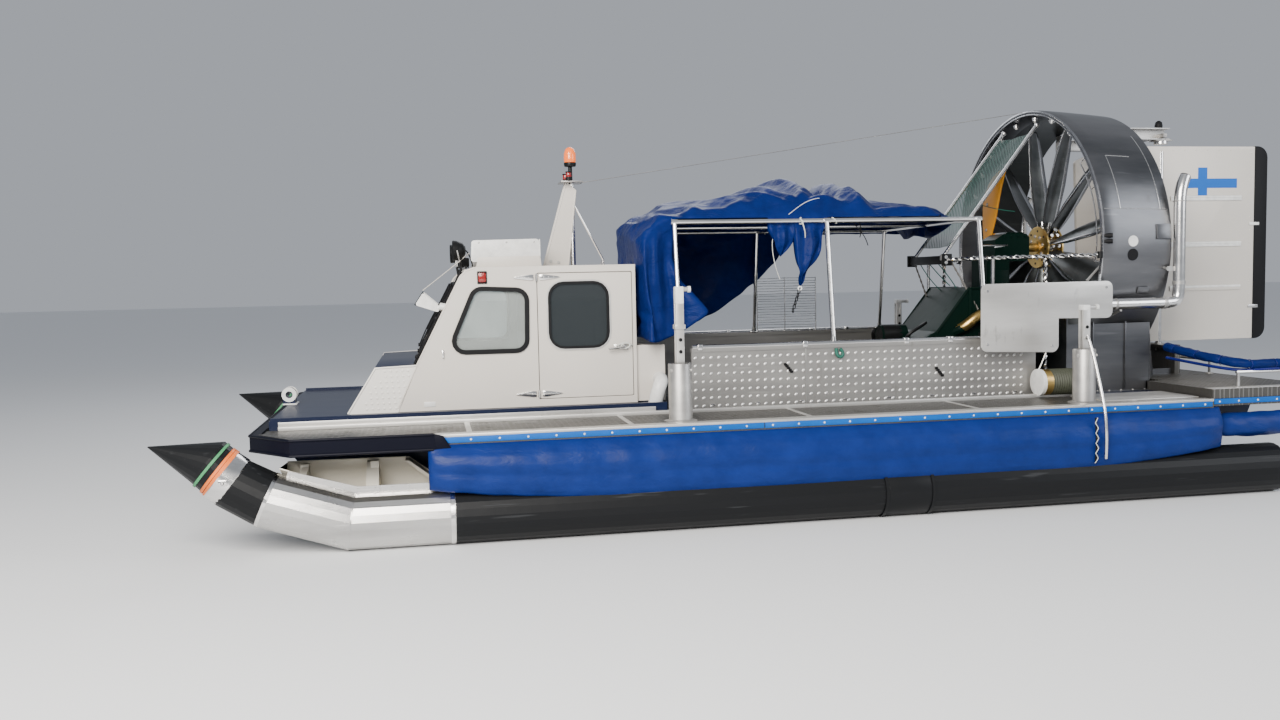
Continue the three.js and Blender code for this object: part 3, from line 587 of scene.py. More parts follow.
def make_materials():
    """Every finish of the craft, by a short key."""
    grey_dirt = (0.16, 0.14, 0.12)
    return {
        "pipe": pipe_plastic("black_pipe"),
        "sheath": brushed("sheath_steel", (0.72, 0.71, 0.69), (0.48, 0.47, 0.46), 0.27, 0.97, 0.8,
                          amount=0.35),
        "tube_steel": brushed("bright_tube", (0.9, 0.88, 0.86), (0.68, 0.67, 0.65), 0.2, 1.0, 2.0,
                              amount=0.15, dents=0.03),
        "dull_steel": brushed("dull_steel", (0.5, 0.49, 0.47), (0.36, 0.35, 0.34), 0.42, 0.8, 1.2, amount=0.5,
                              dents=0.06),
        "duct": brushed("duct_steel", (0.185, 0.185, 0.193), (0.088, 0.092, 0.1), 0.33, 0.9, 0.5, amount=0.4),
        # The inner skin's much darker copy of the duct steel is painted shade inside the duct.
        "duct_inner": brushed("duct_inner", (0.05, 0.055, 0.055), (0.02, 0.023, 0.023), 0.4, 0.6, 0.5,
                              amount=0.3),
        # The blades' steel is darkened as painted shade inside the duct.
        "blade": brushed("shaded_fan_blade", (0.13, 0.135, 0.135), (0.05, 0.055, 0.055), 0.3, 0.85, 0.8, amount=0.3),
        # The dimples' bright copy of the wall's alloy paints their highlights; the wall's darker copy is the
        # same metal between them.
        "wall": brushed("wall_alloy", (0.4, 0.39, 0.37), (0.28, 0.27, 0.26), 0.42, 0.75, 1.0, amount=0.5,
                        dents=0.05),
        "dimple": brushed("dimple_highlight_alloy", (0.9, 0.89, 0.87), (0.75, 0.74, 0.72), 0.35, 0.6, 1.5, amount=0.05),
        "nose": painted("nose_grey", (0.78, 0.75, 0.7), grey_dirt, 0.4, 0.15),
        "duct_lip": brushed("duct_lip", (0.42, 0.42, 0.43), (0.3, 0.3, 0.31), 0.25, 1.0, 1.5, amount=0.1),
        "navy": painted("navy_deck", (0.005, 0.01, 0.034), (0.025, 0.028, 0.038), 0.34, 0.25, 1.2, coat=0.02,
                        shine=0.25),
        # Near black: the apron's own dark paint, darkened further as painted shade under the deck's edge.
        "apron": painted("apron_black_and_shade", (0.002, 0.0025, 0.008), (0.008, 0.008, 0.012), 0.45, 0.2, 1.2,
                         shine=0.1),
        "deck": tread_plate("tread_deck", (0.2, 0.195, 0.185), (0.1, 0.098, 0.092)),
        "alloy": brushed("plain_alloy", (0.66, 0.65, 0.63), (0.5, 0.49, 0.47), 0.4, 0.7, 1.0, amount=0.45,
                         dents=0.08),
        "skirt": cloth("skirt_cloth", (0.0045, 0.022, 0.155), (0.003, 0.015, 0.11), 0.38, 900.0, 0.0,
                       0.35, 8.0, shine=0.18),
        "strip": cloth("edge_strip", (0.004, 0.105, 0.43), (0.003, 0.085, 0.35), 0.42, 900.0, 0.0, 0.1,
                       shine=0.12),
        "tarp": cloth("tarpaulin", (0.004, 0.016, 0.115), (0.0025, 0.01, 0.075), 0.36, 600.0, 0.0, 0.7, 7.0,
                      shine=0.07),
        "roll": cloth("stern_roll", (0.006, 0.012, 0.17), (0.004, 0.008, 0.1), 0.3, 600.0, 0.01, 0.5, 14.0),
        "cabin": painted("cabin_grey", (0.63, 0.59, 0.535), grey_dirt, 0.4, 0.2),
        "rudder": painted("rudder_grey", (0.63, 0.59, 0.535), grey_dirt, 0.42, 0.22),
        "cross": painted("cross_blue", (0.006, 0.11, 0.46), grey_dirt, 0.5, 0.1, shine=0.2),
        "tray": painted("tray_cream", (0.8, 0.76, 0.66), grey_dirt, 0.45, 0.25),
        "rubber": plain("black_rubber", (0.008, 0.008, 0.009), 0.55, fine=160.0, strength=0.25,
                        specular_ior_level=0.15),
        "black": plain("black_paint", (0.007, 0.0075, 0.008), 0.4, specular_ior_level=0.2),
        # The engine's own dark green paint, darkened almost to black as painted shade in the engine bay.
        "green": painted("engine_green", (0.0015, 0.01, 0.007), (0.004, 0.0035, 0.0035), 0.42, 0.5,
                         shine=0.08),
        "olive": plain("olive_hose", (0.05, 0.055, 0.035), 0.6, fine=90.0, strength=0.3),
        "yellow": painted("guard_yellow", (0.72, 0.3, 0.02), (0.12, 0.08, 0.03), 0.4, 0.4),
        "brass": plain("brass", (0.62, 0.42, 0.14), 0.3, 0.95),
        "white": plain("white_plastic", (0.74, 0.74, 0.72), 0.35, fine=120.0),
        "lace": plain("white_cord", (0.62, 0.62, 0.58), 0.7, fine=900.0, strength=0.5),
        "rope": plain("dark_rope", (0.17, 0.16, 0.15), 0.8, fine=600.0, strength=0.6),
        "net": plain("net_cord", (0.006, 0.1, 0.07), 0.6, fine=900.0, strength=0.4),
        "orange": plain("orange_band", (0.75, 0.16, 0.02), 0.45),
        "band_green": plain("green_band", (0.05, 0.25, 0.1), 0.5),
        "amber": lamp_lens("beacon_amber", (0.95, 0.2, 0.02), 0.5),
        "red": lamp_lens("red_lens", (0.32, 0.012, 0.01), 0.05),
        "clear": lamp_lens("clear_lens", (0.75, 0.76, 0.76), 0.0),
        "glass": tinted_glass("window_glass"),
        "pane": clear_glass("clear_pane"),
        "net_mesh": net_mesh("net_mesh", (0.001, 0.036, 0.026)),
    }


MATERIALS = make_materials()


# Sizes and colours that a user may change
class CameraSettings(bpy.types.PropertyGroup):
    """Where the picture is taken from."""

    place: FloatVectorProperty(name="Place", description="Where the camera stands",
        default=(3.0743, 9.8664, 1.8613), subtype="XYZ", unit="LENGTH")
    heading: FloatProperty(name="Heading", description="Turn towards the stern from straight across",
        default=0.1908, subtype="ANGLE")
    dip: FloatProperty(name="Dip", description="Tilt below the horizon", default=0.0711, subtype="ANGLE")
    roll: FloatProperty(name="Roll", description="Lean of the picture", default=-0.0213, subtype="ANGLE")
    lens: FloatProperty(name="Lens", description="Focal length on a 36 mm wide picture", default=30.86,
        min=10.0, unit="CAMERA")


class StageSettings(bpy.types.PropertyGroup):
    """The floor and the lights."""

    floor: FloatVectorProperty(name="Floor", description="Colour of the floor", default=(0.78, 0.79, 0.8),
        subtype="COLOR", size=3)
    sky: FloatProperty(name="Sky", description="Strength of the even light", default=0.46, min=0.0)
    key: FloatProperty(name="Key light", description="Power of the large lamp", default=3000.0, unit="POWER")
    fill: FloatProperty(name="Fill light", description="Power of the lamp on the other side", default=380.0,
        unit="POWER")


class PlateSizes(bpy.types.PropertyGroup):
    """Dimpled plate, rivets and lacing."""

    dimple_pitch: FloatProperty(name="Dimple pitch", description="Distance between dimples", default=0.066,
        unit="LENGTH")
    dimple: FloatProperty(name="Dimple", description="Half the length of a dimple", default=0.0185,
        unit="LENGTH")
    rivet: FloatProperty(name="Rivet", description="Radius of a rivet head", default=0.0085, unit="LENGTH")
    rivet_pitch: FloatProperty(name="Rivet pitch", description="Distance between rivets of the skirt's strip",
        default=0.2, unit="LENGTH")


class TarpaulinSizes(bpy.types.PropertyGroup):
    """How the tarpaulin is simulated."""

    mesh: FloatProperty(name="Mesh", description="Size of its squares", default=0.038, unit="LENGTH")
    slack: FloatProperty(name="Slack", description="Share by which the cloth is larger than its heap",
        default=0.035, min=0.0, max=0.3)
    steps: IntProperty(name="Steps", description="Simulated frames", default=30, min=1)


SETTINGS = {"camera": CameraSettings, "stage": StageSettings, "plates": PlateSizes,
    "tarpaulin": TarpaulinSizes}


class HovercraftSettings(bpy.types.PropertyGroup):
    """All the settings of the craft."""

    camera: PointerProperty(type=CameraSettings)
    stage: PointerProperty(type=StageSettings)
    plates: PointerProperty(type=PlateSizes)
    tarpaulin: PointerProperty(type=TarpaulinSizes)


def add_camera(context, sizes):
    """The camera that sees the craft as the photograph does."""
    heading, dip = sizes.heading, sizes.dip
    ahead = Vector((-sin(heading) * cos(dip), -cos(heading) * cos(dip), -sin(dip)))
    right = Vector((-cos(heading), sin(heading), 0.0))
    up = right.cross(ahead)
    leant = Matrix.Rotation(-sizes.roll, 3, ahead)
    right, up = leant @ right, leant @ up
    camera = bpy.data.cameras.new("camera")
    camera.lens = sizes.lens
    camera.sensor_width = 36.0
    camera.clip_end = 500.0
    holder = link_object("camera", camera)
    turn = Matrix((right, up, -ahead)).transposed().to_4x4()
    holder.matrix_world = Matrix.Translation(sizes.place) @ turn
    context.scene.camera = holder


def add_floor(sizes):
    """A wide pale floor."""
    bm = bmesh.new()
    bmesh.ops.create_grid(bm, x_segments=1, y_segments=1, size=120.0)
    mesh = bpy.data.meshes.new("floor")
    bm.to_mesh(mesh)
    bm.free()
    floor = link_object("floor", mesh)
    finish = Finish("floor", tuple(sizes.floor), roughness=0.85)
    mesh.materials.append(finish.material)


def add_lights(context, sizes):
    """An even sky and three square lamps."""
    world = bpy.data.worlds.new("pale_sky")
    world.use_nodes = True
    sky = world.node_tree.nodes["Background"]
    sky.inputs["Color"].default_value = (0.86, 0.91, 1.0, 1.0)
    sky.inputs["Strength"].default_value = sizes.sky
    context.scene.world = world
    rows = [
        ("key", (6.0, 10.5, 7.0), (0.0, 0.0, 1.0), 7.0, sizes.key, (1.0, 0.96, 0.9)),
        ("fill", (-9.0, 7.0, 5.0), (-2.0, 0.0, 1.0), 5.0, sizes.fill, (0.93, 0.96, 1.0)),
        ("back", (-2.0, -9.0, 8.0), (0.0, 0.0, 1.5), 6.0, sizes.fill, (0.93, 0.96, 1.0)),
    ]
    for name, place, target, width, power, colour in rows:
        lamp = bpy.data.lights.new(name, "AREA")
        lamp.shape = "SQUARE"
        lamp.size = width
        lamp.energy = power
        lamp.color = colour
        holder = link_object(name, lamp)
        aim = (Vector(target) - Vector(place)).to_track_quat("-Z", "Y")
        holder.matrix_world = Matrix.Translation(place) @ aim.to_matrix().to_4x4()


class HOVERCRAFT_OT_stage(bpy.types.Operator):
    """Makes the camera, the pale floor and the studio lights"""

    bl_idname = "hovercraft.stage"
    bl_label = "Stage and camera"

    def execute(self, context):
        settings = context.scene.hovercraft
        add_camera(context, settings.camera)
        add_floor(settings.stage)
        add_lights(context, settings.stage)
        return {"FINISHED"}


# The finish of each CAD node that stays in view
NODE_FINISHES = {
    "runner_tube": "pipe", "runner_sheath": "sheath", "runner_nose": "pipe", "spray_tray": "tray",
    "hull": "navy", "fore_deck": "navy", "side_deck": "deck", "bow_apron": "apron", "stern_platform": "deck",
    "skirt": "skirt", "leg_front": "dull_steel", "leg_aft": "dull_steel", "cabin_body": "cabin",
    "cabin_side": "cabin", "side_glass": "pane", "windscreen": "pane", "rear_glass": "glass", "door": "cabin",
    "door_glass": "glass", "nose_step": "nose", "roof_box": "cabin", "mast": "cabin", "beacon": "amber",
    "mirror": "white", "bulwark": "wall", "canopy_frame": "tube_steel", "canopy_bars": "tube_steel",
    "cargo_screen": "tube_steel", "tarpaulin": "tarp", "engine": "green", "drive_housing": "green",
    "belt_guard": "yellow", "fan_guard": "black", "guard_net": "net", "duct": "duct", "pedestal": "duct",
    "propeller": "dull_steel", "rudder": "rudder", "exhaust": "tube_steel", "shield_plate": "alloy",
    "air_duct": "olive", "stern_rail": "tube_steel", "stern_roll": "roll",
}


class HOVERCRAFT_OT_finishes(bpy.types.Operator):
    """Gives every CAD node its finish"""

    bl_idname = "hovercraft.finishes"
    bl_label = "Finishes"

    def execute(self, context):
        for name, node in frame["nodes"].items():
            stem = name.removesuffix("_port").removesuffix("_starboard")
            node.data.materials.clear()
            node.data.materials.append(MATERIALS[NODE_FINISHES[stem]])
        return {"FINISHED"}


def add_grid(bm, across, along, shape):
    """A sheet of across by along squares, each corner placed by shape(u, v) with u and v from 0 to 1."""
    verts = bmesh.ops.create_grid(bm, x_segments=across, y_segments=along, size=0.5)["verts"]
    for vert in verts:
        vert.co = shape(vert.co.x + 0.5, vert.co.y + 0.5)
    return verts


def add_panel(bm, outlines, origin, across, up, thickness, finish=0):
    """A flat panel with holes: the first outline is its rim, the others are cut out."""
    across, up, origin = Vector(across), Vector(up), Vector(origin)
    edges = []
    for outline in outlines:
        verts = [bm.verts.new(origin + across * a + up * b) for a, b in outline]
        edges += [bm.edges.new((vert, verts[i - 1])) for i, vert in enumerate(verts)]
    filled = bmesh.ops.triangle_fill(bm, edges=edges, use_beauty=True, use_dissolve=False)
    faces = [g for g in filled["geom"] if isinstance(g, bmesh.types.BMFace)]
    made = bmesh.ops.extrude_face_region(bm, geom=faces)
    moved = [v for v in made["geom"] if isinstance(v, bmesh.types.BMVert)]
    bmesh.ops.translate(bm, vec=across.cross(up).normalized() * thickness, verts=moved)
    for face in paint(moved, finish) | set(faces):
        face.material_index = finish


def add_frame(bm, outline, width, origin, across, up, thickness, finish=0):
    """A flat ring of even width along an outline, lying inside it."""
    count = len(outline)
    inner = []
    for i, point in enumerate(outline):
        here = Vector(point)
        ahead = (Vector(outline[(i + 1) % count]) - Vector(outline[i - 1])).normalized()
        inner.append(tuple(here + Vector((-ahead.y, ahead.x)) * width))
    add_panel(bm, [outline, inner], origin, across, up, thickness, finish)


def add_dome(bm, place, radius, height, facing, finish=0, segments=8):
    """A low round head, such as a rivet's, standing on a surface that faces one way."""
    made = bmesh.ops.create_uvsphere(bm, u_segments=segments, v_segments=4, radius=1.0)
    turn = Vector(facing).to_track_quat("Z", "Y").to_matrix().to_4x4()
    shape = Matrix.Diagonal((radius, radius, height, 1.0))
    bmesh.ops.transform(bm, matrix=Matrix.Translation(place) @ turn @ shape, verts=made["verts"])
    paint(made["verts"], finish)


def add_bolt(bm, place, radius, facing, finish=0):
    """A hexagon head on a washer."""
    facing = Vector(facing).normalized()
    place = Vector(place)
    add_bar(bm, place, place + facing * radius * 0.25, radius * 1.5, 14, finish)
    add_bar(bm, place + facing * radius * 0.2, place + facing * radius * 0.95, radius, 6, finish)


def spread(first, last, count):
    """Evenly spaced numbers, both ends included."""
    return [first + (last - first) * i / (count - 1) for i in range(count)]


# Centres of the nose's sections, as (x, z, lean in degrees, radius)
ELBOW = [(4.21, 0.385, 24, 0.196), (4.445, 0.525, 36, 0.186), (4.6, 0.68, 41, 0.176)]


def along_nose(share):
    """A place on the elbow: share runs from 0 at its start to 2 at the cone."""
    i = min(int(share), 1)
    t = share - i
    x, z, lean, radius = (a + (b - a) * t for a, b in zip(ELBOW[i], ELBOW[i + 1]))
    lean = radians(lean)
    return Vector((x, 0.0, z)), Vector((cos(lean), 0.0, sin(lean))), radius


def add_ring(bm, centre, axis, radius, width, height, finish):
    """A low band round a tube, kept above the floor."""
    half, top = width / 2, radius + height
    base = radius - 0.004
    rim = [(-half, base), (-half * 0.8, top), (half * 0.8, top), (half, base), (-half, base)]
    add_lathe(bm, rim, centre, axis, 48, finish)
    floor_gap = 0.0005
    for vert in bm.verts:
        vert.co.z = max(vert.co.z, floor_gap)


def runner_bands(side, sign):
    """The coupling's bands on the tube, and the coloured ones with a clasp on the nose."""
    bm = bmesh.new()
    y = TUBE_Y * sign
    coupling = -0.525
    rows = [(coupling, 0.41, 0.006, 0), (coupling - 0.19, 0.03, 0.012, 0), (coupling + 0.19, 0.03, 0.012, 0),
        (2.94, 0.04, 0.006, 1)]
    for x, width, lift, finish in rows:
        add_ring(bm, (x, y, TUBE_RADIUS), X, TUBE_RADIUS, width, lift, finish)
    rows = [(1.2, 0.12, 0.006, 1), (0.04, 0.03, 0.006, 1), (1.46, 0.03, 0.008, 2), (1.58, 0.024, 0.007, 2),
        (1.85, 0.022, 0.009, 3)]
    for share, width, lift, finish in rows:
        centre, axis, radius = along_nose(share)
        add_ring(bm, centre + Vector((0, y, 0)), axis, radius, width, lift, finish)
    centre, axis, radius = along_nose(1.2)
    across = Vector((0, sign, 0))
    add_box(bm, centre + Vector((-0.03, y + sign * radius - 0.02, -0.02)),
        centre + Vector((0.03, y + sign * radius + 0.022, 0.02)), 0.004, 1)
    add_bolt(bm, centre + Vector((0, y, 0)) + across * (radius + 0.02), 0.008, across, 1)
    finish_piece(bm, f"runner_bands_{side}", ["pipe", "tube_steel", "orange", "band_green"])


def runner_plates(side, sign):
    """Bolts along the sheath's flange, small plates on the tube, and the weld at the mitre."""
    bm = bmesh.new()
    y = TUBE_Y * sign
    for (x0, z0), (x1, z1) in (((3.0, 0.43), (3.6, 0.43)), ((3.6, 0.43), (4.06, 0.56))):
        count = max(2, round(hypot(x1 - x0, z1 - z0) / 0.1))
        for t in spread(0.0, 1.0, count):
            add_bolt(bm, (x0 + (x1 - x0) * t, y, z0 + (z1 - z0) * t), 0.007, (0, sign, 0))
    lean = radians(9)
    add_ring(bm, (3.65, y, TUBE_RADIUS), (cos(lean), 0, sin(lean)), TUBE_RADIUS * 1.01, 0.014, 0.004, 0)
    for x0, x1 in ((0.55, 1.55), (-2.25, -1.45)):
        add_box(bm, (x0, y + sign * 0.02 - 0.05, 2 * TUBE_RADIUS - 0.004),
            (x1, y + sign * 0.02 + 0.05, 2 * TUBE_RADIUS + 0.008), 0.003)
        for x in spread(x0 + 0.06, x1 - 0.06, 5):
            add_bolt(bm, (x, y + sign * 0.05, 2 * TUBE_RADIUS + 0.008), 0.008, Z)
    finish_piece(bm, f"runner_plates_{side}", ["sheath"])


class HOVERCRAFT_OT_runners(bpy.types.Operator):
    """Dresses the runner tubes: couplings, coloured bands, flange bolts, top plates and weld beads"""

    bl_idname = "hovercraft.runners"
    bl_label = "Runner tubes"

    def execute(self, context):
        for side, sign in SIDES.items():
            runner_bands(side, sign)
            runner_plates(side, sign)
        return {"FINISHED"}


SKIRT_FRONT, SKIRT_REAR = 3.1, -3.29
SKIRT_TOP = 0.735
# The bag's section as (how far out from the deck's edge, height as a share from hem to top)
SKIRT_SECTION = [(-0.03, 1.0), (0.012, 0.985), (0.05, 0.9), (0.095, 0.76), (0.118, 0.6), (0.118, 0.42),
    (0.11, 0.26), (0.1, 0.12), (0.08, 0.02), (0.05, -0.01), (0.0, 0.02), (-0.02, 0.1), (-0.03, 0.3),
    (-0.03, 1.0)]


def skirt_section(v):
    """A point of the section's smooth curve."""
    place = v * (len(SKIRT_SECTION) - 1)
    i = min(int(place), len(SKIRT_SECTION) - 2)
    t = place - i
    t = t * t * (3 - 2 * t) * 0.35 + t * 0.65
    (a, b), (c, d) = SKIRT_SECTION[i], SKIRT_SECTION[i + 1]
    return a + (c - a) * t, b + (d - b) * t


def skirt_hem(x):
    """The height of the bag's lowest edge: it rises to both ends."""
    ends = max(0.0, abs(x + 0.1) - 1.9) / 1.3
    return 0.3 + 0.115 * min(1.0, ends) ** 1.5


def skirt_bag(side, sign):
    """The padded skirt along one side, with pleats and a roll."""
    bm = bmesh.new()

    def shape(u, v):
        x = SKIRT_REAR + (SKIRT_FRONT - SKIRT_REAR) * u
        out, share = skirt_section(v)
        close = min(1.0, min(u, 1 - u) * 28)
        close = sqrt(max(0.0, 1 - (1 - close) ** 2))
        low_z = skirt_hem(x)
        z = low_z + (SKIRT_TOP - low_z) * share
        fall = 1.0 - share
        slow = noise((x * 1.1, share * 1.6, 3.0 * sign))
        pleat = noise((x * 5.5 + fall * 0.9, share * 1.1, 7.0 * sign))
        crease = abs(noise((x * 3.2 - share * 2.4, share * 3.0, 11.0))) - 0.25
        gather = sin(x * tau / 0.2) * 0.003 * max(0.0, share - 0.6)
        roll = 0.012 * exp(-((share - 0.4) / 0.07) ** 2)
        middle = sin(pi * min(1, max(0, share * 0.9 + 0.08)))
        swell = (0.014 * slow + 0.01 * pleat + 0.01 * crease) * middle
        reach = out * (0.35 + 0.65 * close) + (swell + gather - roll) * (0.3 + 0.7 * close)
        if out <= -0.02:
            reach = out
        z += 0.006 * pleat * fall
        return Vector((x, sign * (DECK_EDGE - 0.005 + reach), z))

    add_grid(bm, 420, 44, shape)
    close_ends(bm, 0.0004)
    piece = finish_piece(bm, f"skirt_bag_{side}", ["skirt"], replaces=[f"skirt_{side}"],
        smooth=70)


def aft_bag(side, sign):
    """The slack bag under the stern platform."""
    bm = bmesh.new()

    def shape(u, v):
        x = -3.28 - 0.85 * u
        turn = v * tau
        fat = 0.088 * sqrt(max(0.02, 1 - (2 * u - 1) ** 8))
        wave = 0.012 * noise((x * 7.0, cos(turn) * 1.4, sin(turn) * 1.4))
        tall = 1.25 if cos(turn) > 0 else 1.0
        return Vector((x, sign * (1.9 + sin(turn) * (fat + wave)), 0.56 + cos(turn) * (fat * tall + wave)))

    add_grid(bm, 60, 28, shape)
    close_ends(bm, 0.0005)
    piece = finish_piece(bm, f"aft_bag_{side}", ["skirt"], smooth=60)


def skirt_strip(side, sign, sizes):
    """A strip clamps the skirt's upper edge to the deck, with a rivet every so far."""
    bm = bmesh.new()
    top, bottom = 0.784, 0.742
    for x0, x1 in ((-3.22, -2.105), (-2.095, 0.6), (0.608, 3.07)):
        add_box(bm, (x0, sign * DECK_EDGE, bottom), (x1, sign * (DECK_EDGE + 0.012), top), 0.003)
    face = sign * (DECK_EDGE + 0.012)
    for x in spread(-3.15, 3.0, round(6.15 / sizes.rivet_pitch)):
        add_dome(bm, (x, face, (top + bottom) / 2), sizes.rivet, 0.005, (0, sign, 0), 1)
    add_box(bm, (-4.24, sign * 1.948, 0.757), (-3.25, sign * 1.962, 0.8), 0.003)
    for x in spread(-4.2, -3.3, 6):
        add_dome(bm, (x, sign * 1.962, 0.778), sizes.rivet, 0.005, (0, sign, 0), 1)
    finish_piece(bm, f"skirt_strip_{side}", ["strip", "white"])


def skirt_lacing(side, sign):
    """Where two bags meet, a cord laces them across a black tube that paints the shade in the gap between
    them.
    """
    bm = bmesh.new()
    x = -2.1
    seam = [(x, sign * (DECK_EDGE + 0.115 - 0.05 * (k / 9 - 0.55) ** 2), 0.71 - 0.36 * k / 9)
        for k in range(10)]
    # The black rubber tube along the seam paints the shade in the gap between the bags.
    add_tube(bm, seam, 0.008)
    for k in range(9):
        (x0, y0, z0), (x1, y1, z1) = seam[k], seam[k + 1]
        way = 0.012 if k % 2 else -0.012
        lift = sign * 0.008
        add_tube(bm, [(x0 + way, y0 + lift, z0), ((x0 + x1) / 2, y0 + lift * 1.6, (z0 + z1) / 2),
            (x1 - way, y1 + lift, z1)], 0.003, 6, True, 1, 4)
    finish_piece(bm, f"skirt_lacing_{side}", ["rubber", "lace"])


class HOVERCRAFT_OT_skirts(bpy.types.Operator):
    """Hangs the blue skirt bags under the deck's edge, with their strip, rivets and lacing"""

    bl_idname = "hovercraft.skirts"
    bl_label = "Skirts"

    def execute(self, context):
        sizes = context.scene.hovercraft.plates
        for side, sign in SIDES.items():
            skirt_bag(side, sign)
            aft_bag(side, sign)
            skirt_strip(side, sign, sizes)
            skirt_lacing(side, sign)
        return {"FINISHED"}


# Where the canopy's posts stand along the craft
CANOPY_POSTS = (1.05, -0.27, -1.66)
# Cabin outlines in the side view, as (x, z), repeated from the part
CABIN_OUTLINE = [(3.32, 0.871), (3.16, 1.24), (2.8, 1.93), (2.755, 1.978), (2.68, 2.0), (1.39, 2.0),
    (1.39, 0.871)]
DOOR = {"rear": 1.425, "front": 2.195, "bottom": 0.935, "top": 1.945, "gap": 0.005}
FRONT_WINDOW = rounded([(2.7, 1.84), (2.275, 1.82), (2.285, 1.325), (2.925, 1.325)], 0.095)
DOOR_WINDOW = rounded(oblong(1.615, 2.11, 1.335, 1.875), 0.125)
WALL = 0.03
HINGES = (1.915, 0.975)


def add_side_panel(bm, outlines, sign, y_inner, y_outer, finish=0):
    """A side-view panel with holes, between two distances from the middle."""
    first = sign * (y_outer if sign > 0 else y_inner)
    add_panel(bm, outlines, (0, first, 0), X, Z, abs(y_outer - y_inner), finish)


def add_side_frame(bm, outline, width, sign, y_inner, y_outer, finish=0):
    """A side-view ring of even width inside an outline."""
    first = sign * (y_outer if sign > 0 else y_inner)
    add_frame(bm, outline, width, (0, first, 0), X, Z, abs(y_outer - y_inner), finish)


def round_edges(panel, width):
    """A live bevel on a panel's sharp edges."""
    edge = panel.modifiers.new("edge", "BEVEL")
    edge.width = width
    edge.segments = 2
    edge.limit_method = "ANGLE"


def grown(outline, by):
    """An outline moved outwards by a distance, or inwards where it is negative."""
    count = len(outline)
    area = sum(outline[i - 1][0] * outline[i][1] - outline[i][0] * outline[i - 1][1] for i in range(count))
    turn = 1 if area > 0 else -1
    points = []
    for i, point in enumerate(outline):
        ahead = (Vector(outline[(i + 1) % count]) - Vector(outline[i - 1])).normalized()
        points.append(tuple(Vector(point) + Vector((ahead.y, -ahead.x)) * by * turn))
    return points


def side_panel(side, sign):
    """The cabin's side with its doorway and front window."""
    bm = bmesh.new()
    gap = DOOR["gap"]
    doorway = rounded(oblong(DOOR["rear"] - gap, DOOR["front"] + gap, DOOR["bottom"] - gap,
        DOOR["top"] + gap), 0.012, 3)
    add_side_panel(bm, [CABIN_OUTLINE, doorway, FRONT_WINDOW], sign, CABIN_SIDE - WALL, CABIN_SIDE)
    panel = finish_piece(bm, f"cabin_panel_{side}", ["cabin"],
        replaces=[f"cabin_side_{side}"], smooth=30)
    round_edges(panel, 0.003)


def cabin_door(side, sign):
    """The door's panel, and what it carries."""
    bm = bmesh.new()
    body = f"door_{side}"
    rim = rounded(oblong(DOOR["rear"], DOOR["front"], DOOR["bottom"], DOOR["top"]), 0.012, 3)
    add_side_panel(bm, [rim, DOOR_WINDOW], sign, CABIN_SIDE - WALL, CABIN_SIDE)
    panel = finish_piece(bm, f"door_panel_{side}", ["cabin"], body, [f"door_{side}"],
        smooth=30)
    round_edges(panel, 0.004)
    bm = bmesh.new()
    out = CABIN_SIDE
    add_side_frame(bm, grown(DOOR_WINDOW, 0.016), 0.014, sign, out - 0.004, out + 0.006, 1)
    add_side_frame(bm, grown(DOOR_WINDOW, 0.003), 0.02, sign, out - 0.022, out + 0.009)
    for z in HINGES:
        add_hinge_leaf(bm, (DOOR["front"] - 0.02, sign * (out + 0.005), z), -1, sign)
    add_handle(bm, sign)
    finish_piece(bm, f"door_trim_{side}", ["rubber", "alloy", "tube_steel", "lace"], body)


def add_hinge_leaf(bm, place, way, sign):
    """A long pointed strap of a hinge, running fore (1) or aft (-1) of its pin."""
    x, y, z = place
    outline = [(0, -0.022), (0.03, -0.024), (0.15, -0.006), (0.165, 0.0), (0.15, 0.006), (0.03, 0.024),
        (0, 0.022)]
    points = [(x + way * a, z + b) for a, b in outline]
    add_side_plate(bm, points, y - sign * 0.004, -sign * 0.009, 2, 0.0015)
    for a in (0.035, 0.075, 0.115):
        add_dome(bm, (x + way * a, y + sign * 0.004, z), 0.006, 0.004, (0, sign, 0), 2)


def add_handle(bm, sign):
    """A lever on a plate at the door's rear edge, with a cord hitched round it."""
    out = sign * CABIN_SIDE
    z = 1.335
    add_box(bm, (1.46, out, z - 0.02), (1.58, out + sign * 0.008, z + 0.02), 0.003, 2)
    add_tube(bm, [(1.5, out, z), (1.5, out + sign * 0.045, z), (1.52, out + sign * 0.05, z - 0.002),
        (1.63, out + sign * 0.046, z - 0.014)], 0.009, 10, False, 2)
    loops = [(1.43, out + sign * 0.012, z + 0.01), (1.47, out + sign * 0.03, z + 0.035),
        (1.53, out + sign * 0.026, z + 0.03), (1.52, out + sign * 0.04, z - 0.018),
        (1.46, out + sign * 0.036, z - 0.01), (1.44, out + sign * 0.02, z + 0.03),
        (1.5, out + sign * 0.03, z + 0.04), (1.56, out + sign * 0.03, z + 0.012)]
    add_tube(bm, loops, 0.006, 8, True, 3, 8)


